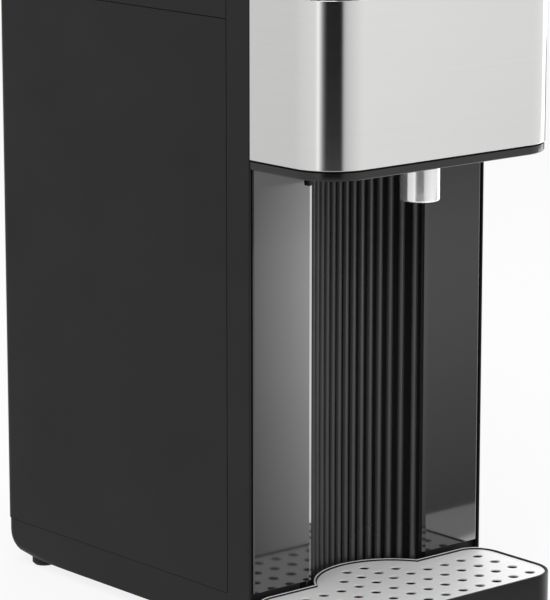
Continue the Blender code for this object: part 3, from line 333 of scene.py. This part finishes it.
def curve_of(made, value, stops):
    """A value read from stops of place and level, straight between them."""
    first = stops[0][0]
    last = stops[-1][0]
    share = maths(made, "DIVIDE", maths(made, "SUBTRACT", value, first), last - first)
    ramp = node(made, "ShaderNodeValToRGB")
    elements = ramp.color_ramp.elements
    while len(elements) < len(stops):
        elements.new(1.0)
    for element, (stop, level) in zip(elements, stops):
        grey = level / tone_limit
        element.position = (stop - first) / (last - first)
        element.color = (grey, grey, grey, 1.0)
    link(made, share, ramp.inputs["Fac"])
    return maths(made, "MULTIPLY", ramp.outputs["Color"], tone_limit)


def noise(made, scale=1.0, detail=2.0, stretch=(1.0, 1.0, 1.0)):
    """Noise fixed to the object's own space, drawn out along some of its axes."""
    spot = node(made, "ShaderNodeTexCoord")
    mapping = node(made, "ShaderNodeMapping", scale=stretch)
    texture = node(made, "ShaderNodeTexNoise", scale=scale, detail=detail)
    link(made, spot.outputs["Object"], mapping.inputs["Vector"])
    link(made, mapping.outputs["Vector"], texture.inputs["Vector"])
    return texture.outputs["Fac"]


def spread(made, value, low, high):
    """A noise moved to the range from low to high."""
    ranged = node(made, "ShaderNodeMapRange", from_min=noise_low, from_max=noise_high, to_min=low,
                  to_max=high)
    link(made, value, ranged.inputs["Value"])
    return ranged.outputs["Result"]


def vary_roughness(made, value, low, high):
    """Roughness that follows a noise."""
    link(made, spread(made, value, low, high), shader_of(made).inputs["Roughness"])


def vary_colour(made, value, colour, low_share, high_share):
    """Base colour that follows a noise between two shares of a colour."""
    mix = node(made, "ShaderNodeMix", data_type="RGBA")
    ends = [socket for socket in mix.inputs if socket.type == "RGBA"]
    for end, share in zip(ends, (low_share, high_share)):
        end.default_value = (*[min(1.0, channel * share) for channel in colour], 1.0)
    link(made, spread(made, value, 0.0, 1.0), mix.inputs["Factor"])
    mixed = [socket for socket in mix.outputs if socket.type == "RGBA"][0]
    link(made, mixed, shader_of(made).inputs["Base Color"])


def emboss(made, value, strength, depth):
    """Fine relief that follows a noise, depth metres high."""
    bump = node(made, "ShaderNodeBump", strength=strength, distance=depth)
    link(made, value, bump.inputs["Height"])
    link(made, bump.outputs["Normal"], shader_of(made).inputs["Normal"])


def textured_plastic(name, colour, roughness, specular=0.5, grain=2200.0, relief=0.00004):
    """Moulded plastic with a fine spark-eroded grain."""
    made = material(name, colour, roughness, specular=specular)
    emboss(made, noise(made, scale=grain, detail=3.0), strength=0.35, depth=relief)
    patches = noise(made, scale=14.0, detail=3.0)
    vary_roughness(made, patches, low=roughness - 0.04, high=roughness + 0.05)
    vary_colour(made, noise(made, scale=30.0), colour, low_share=0.93, high_share=1.07)
    return made


def gloss_plastic(name, colour, roughness, specular, coat):
    """Polished plastic with a trace of waviness."""
    more = {"Coat Weight": coat, "Coat Roughness": coat_roughness}
    made = material(name, colour, roughness, specular=specular, more=more)
    emboss(made, noise(made, scale=90.0, detail=1.0), strength=0.04, depth=0.00002)
    vary_roughness(made, noise(made, scale=25.0), low=roughness * 0.8, high=roughness * 1.3)
    return made


def brushed_metal(name, colour, roughness, stretch, metallic=1.0, anisotropy=0.0, turn=0.0):
    """Metal with fine brush lines, long along the axes where the stretch is small."""
    more = {"Anisotropic": anisotropy, "Anisotropic Rotation": turn}
    made = material(name, colour, roughness, metallic=metallic, more=more)
    tangent = node(made, "ShaderNodeTangent", direction_type="RADIAL", axis="Z")
    link(made, tangent.outputs["Tangent"], shader_of(made).inputs["Tangent"])
    lines = noise(made, stretch=stretch)
    emboss(made, lines, strength=0.05, depth=0.00001)
    vary_roughness(made, lines, low=roughness - 0.01, high=roughness + 0.02)
    vary_colour(made, lines, colour, low_share=0.985, high_share=1.015)
    return made


def polished_metal(name, colour, roughness, metallic):
    """Plated metal with faint polishing haze."""
    made = material(name, colour, roughness, metallic=metallic)
    haze = noise(made, scale=120.0, detail=3.0)
    vary_roughness(made, haze, low=roughness * 0.7, high=roughness * 1.5)
    return made


def clear_plastic(name, colour, roughness):
    """Tinted see-through plastic."""
    made = material(name, colour, roughness, more={"Transmission Weight": clear_share, "IOR": clear_ior})
    emboss(made, noise(made, scale=60.0, detail=1.0), strength=0.05, depth=0.00003)
    vary_roughness(made, noise(made, scale=20.0), low=roughness * 0.7, high=roughness * 1.4)
    return made


# Finishes by slot
materials = {
    "black_plastic": textured_plastic("satin_black", (0.0102, 0.0102, 0.0106), roughness=0.52,
                                      specular=0.18),
    "gloss_black": gloss_plastic("piano_black", (0.010, 0.010, 0.011), roughness=0.07, specular=0.9,
                                 coat=0.6),
    "brushed_steel": brushed_metal("brushed_steel", (0.70, 0.70, 0.695), roughness=0.125,
                                   stretch=lines_round_head, anisotropy=0.3, turn=0.25),
    "chrome": polished_metal("chrome", (0.88, 0.88, 0.875), roughness=0.14, metallic=0.78),
    "smoke_plastic": gloss_plastic("smoke_lens", (0.012, 0.012, 0.014), roughness=0.05, specular=0.6,
                                   coat=0.8),
    "tank_plastic": clear_plastic("smoked_clear", (0.56, 0.60, 0.64), roughness=0.06),
    "rubber": textured_plastic("black_rubber", (0.012, 0.012, 0.012), roughness=0.75, specular=0.3,
                               grain=900.0),
    "silicone": textured_plastic("milky_silicone", (0.62, 0.60, 0.56), roughness=0.50, grain=700.0),
    "grey_plastic": textured_plastic("grey_moulding", (0.28, 0.29, 0.30), roughness=0.50, grain=1500.0),
    "white_plastic": textured_plastic("white_moulding", (0.75, 0.75, 0.73), roughness=0.42, grain=1500.0),
    "board_green": textured_plastic("board_green", (0.03, 0.16, 0.07), roughness=0.35, grain=400.0),
    "zinc": brushed_metal("zinc_plate", (0.55, 0.55, 0.54), roughness=0.35, stretch=plain_grain),
}

# Finishes of single pieces
grille_steel = brushed_metal("sheet_steel", (0.94, 0.94, 0.935), roughness=0.46,
                             stretch=lines_across_cover, metallic=0.32)
rim_plastic = textured_plastic("rim_black", (0.0035, 0.0035, 0.0037), roughness=0.16, specular=0.52,
                               relief=0.000003)
# Painted shade: the niche's wall between the ribs is near black and dull, standing for the shade deep in
# the grooves
painted_groove_shade = textured_plastic("painted_groove_shade", (0.0030, 0.0030, 0.0031), roughness=0.62, specular=0.06,
                                grain=1500.0)
# Painted light: the ribs are a lighter black than the wings, standing for light that the shaded niche
# doesn't get
painted_lit_ribs = textured_plastic("painted_lit_rib_black", (0.045, 0.045, 0.0455), roughness=0.25, specular=0.46,
                                 relief=0.000004)
finishes = {"head_bottom_cover": rim_plastic}


# Outlines
def arc(x, y, radius, start, end, steps):
    """Points on an arc between two angles in degrees."""
    angles = [math.radians(start + (end - start) * i / steps) for i in range(steps + 1)]
    return [(x + radius * math.cos(angle), y + radius * math.sin(angle)) for angle in angles]


def bar(left, right, low, high):
    """A rectangle's outline."""
    return [(left, low), (right, low), (right, high), (left, high)]


def reversed_loop(outline):
    """The same outline run the other way, as a hole needs."""
    return list(reversed(outline))


def spaced(count, pitch):
    """Places a pitch apart, evenly to both sides of zero."""
    return [(i - (count - 1) / 2) * pitch for i in range(count)]


# Meshes
def opened(mesh):
    """A mesh opened for editing."""
    bm = bmesh.new()
    bm.from_mesh(mesh)
    return bm


def written(bm, mesh):
    """The mesh with the edit written into it."""
    bm.to_mesh(mesh)
    bm.free()
    return mesh


def evaluated(obj):
    """A new mesh of an object as its modifiers leave it."""
    graph = bpy.context.evaluated_depsgraph_get()
    return bpy.data.meshes.new_from_object(obj.evaluated_get(graph))


def mesh_from(holder):
    """An object's evaluated mesh, welded. The object itself goes."""
    mesh = evaluated(holder)
    bm = opened(mesh)
    bmesh.ops.remove_doubles(bm, verts=bm.verts, dist=weld)
    bpy.data.objects.remove(holder)
    return written(bm, mesh)


def plate(name, outlines, bottom, top, edge):
    """A flat piece with rounded edges, from an outline and the holes in it."""
    curve = bpy.data.curves.new(name, "CURVE")
    curve.dimensions = "2D"
    curve.fill_mode = "BOTH"
    curve.bevel_depth = edge
    curve.bevel_resolution = edge_steps
    curve.offset = -edge
    curve.extrude = (top - bottom) / 2 - edge
    for number, outline in enumerate(outlines):
        points = outline if number == 0 else reversed_loop(outline)
        spline = curve.splines.new("POLY")
        spline.points.add(len(points) - 1)
        spline.use_cyclic_u = True
        for point, (x, y) in zip(spline.points, points):
            point.co = (x, y, 0.0, 1.0)
    mesh = mesh_from(linked(name, curve))
    bpy.data.curves.remove(curve)
    mesh.transform(Matrix.Translation((0.0, 0.0, (bottom + top) / 2)))
    return mesh


def turned(name, profile, x, y):
    """A closed profile of radius and height turned round an upright axis at x, y."""
    mesh = bpy.data.meshes.new(name)
    edges = [(i, (i + 1) % len(profile)) for i in range(len(profile))]
    mesh.from_pydata([(radius, 0.0, z) for radius, z in profile], edges, [])
    holder = linked(name, mesh)
    lathe = holder.modifiers.new("lathe", "SCREW")
    lathe.steps = turn_sides
    lathe.render_steps = turn_sides
    lathe.use_merge_vertices = True
    lathe.merge_threshold = weld
    lathe.use_normal_calculate = True
    result = mesh_from(holder)
    result.transform(Matrix.Translation((x, y, 0.0)))
    return result


# Pieces
def turn_outward(mesh):
    """Turns the faces to the outside."""
    bm = opened(mesh)
    bmesh.ops.recalc_face_normals(bm, faces=bm.faces)
    written(bm, mesh)


def keep_faces_flat(piece):
    """Gives the piece normals that follow its large faces, so that round edges don't bend them."""
    weigh = piece.modifiers.new("weigh", "WEIGHTED_NORMAL")
    weigh.keep_sharp = True
    weigh.weight = normal_weight
    mesh = evaluated(piece)
    piece.modifiers.clear()
    piece.data = mesh


def place(name, mesh, body, slot, finish=None, angle=smooth_angle):
    """Makes a piece of a mesh, on a body and with a slot's finish or its own."""
    turn_outward(mesh)
    mesh.shade_smooth()
    mesh.set_sharp_from_angle(angle=angle)
    mesh.materials.clear()
    mesh.materials.append(finish or materials[slot])
    piece = linked(name, mesh)
    keep_faces_flat(piece)
    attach(piece, body)
    return piece


def show(name, mesh, stands_for, finish=None, angle=smooth_angle):
    """Places a piece for a CAD node, on the node's body and with its slot."""
    piece = place(name, mesh, body_of[stands_for], slot_of[stands_for], finish, angle)
    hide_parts(stands_for)
    shown.add(stands_for)
    return piece


def refined(node_name, edge, finish=None):
    """A smooth copy of a CAD piece with its sharp edges rounded."""
    source = frame["nodes"][node_name].data
    points = [vert.co for vert in source.vertices]
    faces = [tuple(face.vertices) for face in source.polygons]
    mesh = bpy.data.meshes.new("smooth_" + node_name)
    mesh.from_pydata(points, [], faces)
    bm = opened(mesh)
    bmesh.ops.remove_doubles(bm, verts=bm.verts, dist=weld)
    bmesh.ops.dissolve_limit(bm, angle_limit=flat_angle, verts=bm.verts, edges=bm.edges)
    if edge > 0:
        sharp = [e for e in bm.edges if len(e.link_faces) == 2 and e.calc_face_angle() > sharp_angle]
        bmesh.ops.bevel(bm, geom=sharp, offset=edge, segments=bevel_steps, profile=bevel_profile_share,
                        affect="EDGES", clamp_overlap=True)
    return show("smooth_" + node_name, written(bm, mesh), node_name, finish)


# Head band
def front_path(low, high, inset):
    """The head's open outline, from its left end round the front to its right end."""
    side = high.x - inset
    tip = low.y + inset
    bend = head_corner - inset
    left = arc(bend - side, tip + bend, bend, 180, 270, corner_steps)
    right = arc(side - bend, tip + bend, bend, 270, 360, corner_steps)
    return [(-side, high.y)] + left + right + [(side, high.y)]


def make_band():
    """The brushed steel sheet wrapped round the head."""
    low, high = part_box("head_band")
    outline = front_path(low, high, 0.0) + reversed_loop(front_path(low, high, band_thickness))
    mesh = plate("steel_band", [outline], low.z + band_lift, high.z, band_edge)
    show("steel_band", mesh, "head_band")


# Niche
def bay_arc(radius, centre, back):
    """The arc round the niche's centre, from right to left, behind the line at back."""
    angle = math.degrees(math.asin((back - centre) / radius))
    return arc(0.0, centre, radius, angle, 180 - angle, niche_steps)


def niche_circle():
    """The niche's radius and centre, and the plane that its arc starts in."""
    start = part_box("niche_panel")[0].y
    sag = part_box("wing_panel_left")[0].y + niche_depth - start
    radius = (niche_half_width ** 2 + sag ** 2) / (2 * sag)
    return radius, start + sag - radius, start


def make_niche():
    """The niche's wall, matt and painted near black as shade in the grooves, and its polished ribs, painted
    a lighter black as light, evenly spaced in front view.
    """
    low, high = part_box("niche_panel")
    radius, centre, start = niche_circle()
    side = niche_half_width + niche_flange
    rear = start + niche_wall
    outline = reversed_loop(bay_arc(radius, centre, start)) + [(side, start), (side, rear)]
    outline += bay_arc(radius + niche_wall, centre, rear) + [(-side, rear), (-side, start)]
    show("niche_wall", plate("niche_wall", [outline], low.z, high.z, 0.0), "niche_panel", painted_groove_shade)
    pitch = 2 * niche_half_width / rib_count
    half_rib = rib_width / 2 / radius
    ribs = []
    for i in range(rib_count):
        middle = math.asin(((i + 0.5) * pitch - niche_half_width) / radius)
        rib = []
        for step in range(rib_steps + 1):
            across = 2 * step / rib_steps - 1
            near = radius - rib_height * (1 - abs(across) ** rib_power)
            rib.append((near, middle + across * half_rib))
        rib += [(radius + rib_root, middle + half_rib), (radius + rib_root, middle - half_rib)]
        ribs.append([(reach * math.sin(angle), centre + reach * math.cos(angle)) for reach, angle in rib])
    show("niche_ribs", plate("niche_ribs", ribs, low.z, high.z, 0.0), "niche_panel", painted_lit_ribs)


# Gloss wings
def make_wing(name, stands_for, inner_sign):
    """A polished panel with a flat bevel towards the niche."""
    low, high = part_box(stands_for)
    reach = (high.x - low.x) / 2 + wing_lip / 2
    middle = (low.x + high.x) / 2 + inner_sign * wing_lip / 2
    outline = [(reach - wing_bevel_width, low.y), (reach, low.y + wing_bevel_depth), (reach, high.y),
               (-reach, high.y)]
    outline += arc(wing_outer_edge - reach, low.y + wing_outer_edge, wing_outer_edge, 180, 270,
                   small_corner_steps)
    outline = [(middle + inner_sign * x, y) for x, y in outline]
    if inner_sign < 0:
        outline = reversed_loop(outline)
    mesh = plate(name, [outline], low.z, high.z, wing_fine_edge)
    show(name, mesh, stands_for, angle=wing_angle)


def make_clip(name, stands_for, inner_sign):
    """A small rounded clip at a wing's inner top corner."""
    low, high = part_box(stands_for)
    half = clip_width / 2
    middle = high.x - half if inner_sign > 0 else low.x + half
    lead = high.y - clip_reach + clip_corner
    outline = [(middle - half, high.y)]
    outline += arc(middle - half + clip_corner, lead, clip_corner, 180, 270, small_corner_steps)
    outline += arc(middle + half - clip_corner, lead, clip_corner, 270, 360, small_corner_steps)
    outline += [(middle + half, high.y)]
    show(name, plate(name, [outline], high.z - clip_height, high.z, clip_edge), stands_for)


# Spout
def make_spout():
    """The polished sleeve with its rolled lip, and the outlet's cone inside it."""
    low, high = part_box("spout_sleeve")
    x = (low.x + high.x) / 2
    y = (low.y + high.y) / 2
    flange = high.z - sleeve_flange_height
    profile = [(sleeve_bore, high.z), (sleeve_flange, high.z), (sleeve_flange, flange),
               (sleeve_radius, flange)]
    profile += arc(sleeve_radius - sleeve_lip, low.z + sleeve_lip, sleeve_lip, 0, -90, lip_steps)
    profile += [(sleeve_bore, low.z + outlet_edge)]
    show("polished_sleeve", turned("polished_sleeve", profile, x, y), "spout_sleeve")
    low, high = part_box("spout_outlet")
    shoulder = low.z + outlet_height
    body = high.x
    profile = [(outlet_bore, high.z), (barb_radius, high.z), (barb_radius, shoulder), (body, shoulder),
               (body, low.z + outlet_edge), (body - outlet_edge, low.z), (outlet_bore + outlet_cone, low.z),
               (outlet_bore, low.z + outlet_cone)]
    show("outlet_nozzle", turned("outlet_nozzle", profile, x, y), "spout_outlet")


# Valve spring
def make_spring():
    """A smooth copy of the valve spring, with a mesh of its own."""
    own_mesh(refined("valve_spring", 0.0))


# Drip cover, and a painted highlight on the tray's rim
def tray_rear(side, back, inset):
    """The tray's rear edge in plan, with a bay that reaches into the niche."""
    radius, centre, _ = niche_circle()
    half = side - inset
    end = back - inset
    corner = tray_rear_corner - inset
    bay = radius - rib_height - bay_clearance - inset
    right = arc(half - corner, end - corner, corner, 0, 90, corner_steps)
    left = arc(corner - half, end - corner, corner, 90, 180, corner_steps)
    return right + bay_arc(bay, centre, end) + left


def tray_outline(side, lead, back, inset):
    """The tray in plan, rounded in front."""
    half = side - inset
    tip = lead + inset
    corner = tray_front_corner - inset
    left = arc(corner - half, tip + corner, corner, 180, 270, corner_steps)
    right = arc(half - corner, tip + corner, corner, 270, 360, corner_steps)
    return left + right + tray_rear(side, back, inset)


def make_drip_cover():
    """The punched steel cover in the tray's rim."""
    low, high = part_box("drip_grille")
    tray_low, tray_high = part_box("drip_tray")
    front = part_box("wing_panel_left")[0].y
    outlines = [tray_outline(tray_high.x, tray_low.y, front + tray_back, tray_rim + seat_gap)]
    columns = 2 * int((tray_high.x - hole_side_margin) / hole_pitch)
    row_count = int((front - tray_low.y - hole_front_margin) / hole_row_pitch)
    rows = [(front - i * hole_row_pitch, columns) for i in range(1, row_count + 1)]
    rows += [(front - bay_row_reach, bay_row_columns), (front + inner_row_back, inner_row_columns)]
    for y, count in rows:
        for x in spaced(count, hole_pitch):
            outlines.append(arc(x, y, hole_radius, 0, 360, hole_sides)[:-1])
    mesh = plate("punched_cover", outlines, low.z, high.z, cover_edge)
    show("punched_cover", mesh, "drip_grille", grille_steel)


def make_painted_rim_highlight():
    """A thin bright steel strip on the tray's rear rim, a painted highlight where the rim's top catches
    light.
    """
    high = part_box("drip_tray")[1]
    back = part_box("wing_panel_left")[0].y + tray_back
    outline = tray_rear(high.x, back, rim_highlight_inset)
    outline += reversed_loop(tray_rear(high.x, back, rim_highlight_inset + rim_highlight_width))
    mesh = plate("painted_rim_highlight", [outline], high.z - rim_highlight_root, high.z + rim_highlight_rise, cover_edge)
    place("painted_rim_highlight", mesh, body_of["drip_tray"], slot_of["drip_grille"], grille_steel)


# Marks on the keys and the display
def lock_mark():
    """A padlock."""
    shackle = lock_shoulder + lock_bow_wall
    inner = lock_bow - lock_bow_wall
    outer = [(-lock_half, sign_low), (lock_half, sign_low), (lock_half, lock_shoulder)]
    outer += [(lock_bow, lock_shoulder)] + arc(0.0, shackle, lock_bow, 0, 180, sign_steps)
    outer += [(-lock_bow, lock_shoulder), (-lock_half, lock_shoulder)]
    hole = [(-inner, lock_shoulder), (inner, lock_shoulder)]
    hole += arc(0.0, shackle, inner, 0, 180, sign_steps)
    return [outer, hole]


def temperature_mark():
    """A thermometer."""
    turn = math.degrees(math.asin(stem_radius / bulb_radius))
    return [arc(0.0, bulb_place, bulb_radius, 90 + turn, 450 - turn, 2 * sign_steps)
            + arc(0.0, stem_top, stem_radius, 0, 180, sign_steps)]


def volume_mark():
    """Upright bars, each taller than the last."""
    outlines = []
    for i, x in enumerate(spaced(bar_count, bar_pitch)):
        height = (i + first_bar_steps) * bar_step
        outlines.append(bar(x - bar_half, x + bar_half, sign_low, sign_low + height))
    return outlines


def start_mark():
    """An open ring with a short stroke in its gap."""
    inner = ring_radius - ring_wall
    ring = arc(0.0, 0.0, ring_radius, 90 + ring_gap, 450 - ring_gap, 2 * sign_steps)
    ring += reversed_loop(arc(0.0, 0.0, inner, 90 + ring_gap, 450 - ring_gap, 2 * sign_steps))
    return [ring, bar(-ring_wall / 2, ring_wall / 2, dash_low, ring_radius)]


def digit(text, x):
    """The lit strokes of a digit, about a place across the display."""
    reach = digit_unit / 2 - digit_gap
    tip = reach - digit_stroke
    flat = [(-reach, 0.0), (-tip, -digit_stroke), (tip, -digit_stroke), (reach, 0.0), (tip, digit_stroke),
            (-tip, digit_stroke)]
    upright = [(-v, u) for u, v in flat]
    outlines = []
    for name in lit_strokes[text]:
        side, rise = stroke_middles[name]
        shape = flat if name in flat_strokes else upright
        outlines.append([(x + side * digit_unit + u, rise * digit_unit + v) for u, v in shape])
    return outlines


def make_mark(name, outlines, stands_on):
    """Printed outlines on the middle of a piece's top."""
    low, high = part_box(stands_on)
    middle = (low + high) / 2
    placed = [[(middle.x + x, middle.y + y) for x, y in outline] for outline in outlines]
    mesh = plate(name, placed, high.z - mark_root, high.z + mark_rise, 0.0)
    place(name, mesh, body_of[stands_on], "white_plastic")


def make_marks():
    """Plain signs on the four keys, and plain digits on the display."""
    make_mark("lock_mark", lock_mark(), "lock_key")
    make_mark("temperature_mark", temperature_mark(), "temperature_key")
    make_mark("volume_mark", volume_mark(), "volume_key")
    make_mark("start_mark", start_mark(), "start_key")
    digits = []
    for text, x in zip(digit_text, spaced(len(digit_text), digit_pitch)):
        digits += digit(text, x)
    make_mark("display_digits", digits, "display_window")


# Stage
def make_floor():
    """A pale floor that runs out of sight. To the camera it also glows."""
    bm = bmesh.new()
    bmesh.ops.create_circle(bm, cap_ends=True, radius=floor_radius, segments=floor_sides)
    floor = linked("floor", written(bm, bpy.data.meshes.new("floor")))
    made = material("floor", (floor_grey, floor_grey, floor_grey), floor_roughness, specular=0.0)
    floor.data.materials.append(made)
    rays = node(made, "ShaderNodeLightPath").outputs
    share = maths(made, "MULTIPLY", rays["Is Camera Ray"], floor_glow_share)
    glow = node(made, "ShaderNodeEmission")
    mix = node(made, "ShaderNodeMixShader")
    sources = (share, shader_of(made).outputs["BSDF"], glow.outputs["Emission"])
    for source, target in zip(sources, mix.inputs):
        link(made, source, target)
    link(made, mix.outputs["Shader"], surface_of(made))


def make_world():
    """Even white surroundings, brighter to the camera, in reflections and through clear plastic."""
    world = bpy.data.worlds.new("world")
    bpy.context.scene.world = world
    world.use_nodes = True
    rays = node(world, "ShaderNodeLightPath").outputs
    seen = maths(world, "MAXIMUM", rays["Is Camera Ray"], rays["Is Glossy Ray"])
    seen = maths(world, "MAXIMUM", seen, rays["Is Transmission Ray"])
    level = node(world, "ShaderNodeMapRange", to_min=world_level, to_max=1.0)
    link(world, seen, level.inputs["Value"])
    background = world.node_tree.nodes["Background"]
    background.inputs["Color"].default_value = (1.0, 1.0, 1.0, 1.0)
    link(world, level.outputs["Result"], background.inputs["Strength"])


def make_lights():
    """Soft rectangular studio lamps, each turned to its aim."""
    for name, (spot, aim, size, power) in lamps.items():
        data = bpy.data.lights.new(name, "AREA")
        data.shape = "RECTANGLE"
        data.size, data.size_y = size
        data.energy = power
        lamp = linked(name, data)
        lamp.location = spot
        lamp.rotation_euler = (Vector(aim) - Vector(spot)).to_track_quat("-Z", "Y").to_euler()


def reflected_only(name, bm):
    """A piece of the stage that only reflections see, as its material and its place by axis."""
    piece = linked(name, written(bm, bpy.data.meshes.new(name)))
    piece.visible_camera = False
    piece.visible_diffuse = False
    piece.visible_transmission = False
    piece.visible_shadow = False
    made = material(name, (0.0, 0.0, 0.0), roughness=1.0, specular=0.0)
    piece.data.materials.append(made)
    spot = node(made, "ShaderNodeTexCoord")
    axes = node(made, "ShaderNodeSeparateXYZ")
    link(made, spot.outputs["Object"], axes.inputs["Vector"])
    return made, axes.outputs


def glow_at(made, level):
    """Makes a material glow at a level."""
    glow = node(made, "ShaderNodeEmission")
    link(made, level, glow.inputs["Strength"])
    link(made, glow.outputs["Emission"], surface_of(made))


def toned(made, along, tones, up, shares):
    """Tones read along one way, times their shares by height."""
    return maths(made, "MULTIPLY", curve_of(made, along, tones), curve_of(made, up, shares))


def make_card():
    """An upright card ahead of the tray. It gives the wings their tones."""
    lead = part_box("drip_tray")[0].y - card_gap
    middle = Matrix.Translation(((card_left + card_right) / 2, lead, (card_low + card_high) / 2))
    upright = Matrix.Rotation(math.radians(90), 4, "X")
    size = Matrix.Diagonal((card_right - card_left, card_high - card_low, 1.0, 1.0))
    bm = bmesh.new()
    bmesh.ops.create_grid(bm, x_segments=1, y_segments=1, size=0.5, matrix=middle @ upright @ size)
    made, (x, _, z) = reflected_only("card_tones", bm)
    glow_at(made, toned(made, x, across_tones, z, upright_shares))


def ring_tone(made, x, y, z, centre):
    """The mirrored level by azimuth round a centre, with the floor near it never dark."""
    side = maths(made, "SUBTRACT", x, centre[0])
    ahead = maths(made, "SUBTRACT", y, centre[1])
    turn = maths(made, "DEGREES", maths(made, "ARCTAN2", ahead, side))
    squares = maths(made, "MULTIPLY_ADD", side, side, maths(made, "MULTIPLY", ahead, ahead))
    near = curve_of(made, maths(made, "SQRT", squares), ((disc_reach, disc_level), (disc_end, 0.0)))
    ring = curve_of(made, turn, ring_tones)
    strip = toned(made, turn, strip_tones, z, strip_shares)
    wall = maths(made, "MULTIPLY_ADD", ring, curve_of(made, z, wall_shares), strip)
    dark = toned(made, turn, dark_shares, z, dark_height_shares)
    wall = maths(made, "MULTIPLY", wall, maths(made, "SUBTRACT", 1.0, dark))
    return maths(made, "MAXIMUM", wall, near)


def make_wall():
    """A disc and a wall far round the object. They give the other polished faces their tones."""
    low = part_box("head_band")[0]
    centre = (low.x + head_corner, low.y + head_corner)
    bm = bmesh.new()
    bmesh.ops.create_cone(bm, cap_ends=True, segments=turn_sides, radius1=wall_radius,
                          radius2=wall_radius, depth=wall_height)
    bmesh.ops.translate(bm, verts=bm.verts, vec=(*centre, disc_height + wall_height / 2))
    lids = [face for face in bm.faces if round(face.normal.z) == 1]
    bmesh.ops.delete(bm, geom=lids, context="FACES_ONLY")
    made, (x, y, z) = reflected_only("wall_tones", bm)
    glow_at(made, ring_tone(made, x, y, z, centre))


make_camera()
make_floor()
make_world()
make_lights()
make_card()
make_wall()
make_band()
make_niche()
make_wing("gloss_wing_left", "wing_panel_left", 1)
make_wing("gloss_wing_right", "wing_panel_right", -1)
make_clip("clip_left", "panel_clip_left", 1)
make_clip("clip_right", "panel_clip_right", -1)
make_spout()
make_spring()
make_drip_cover()
make_painted_rim_highlight()
make_marks()
for name, edge in rounded.items():
    refined(name, edge, finishes.get(name))
for name in sorted(set(frame["nodes"]) - shown):
    refined(name, 0.0)

scene = bpy.context.scene
scene.view_settings.view_transform = "Standard"
bpy.context.view_layer.update()
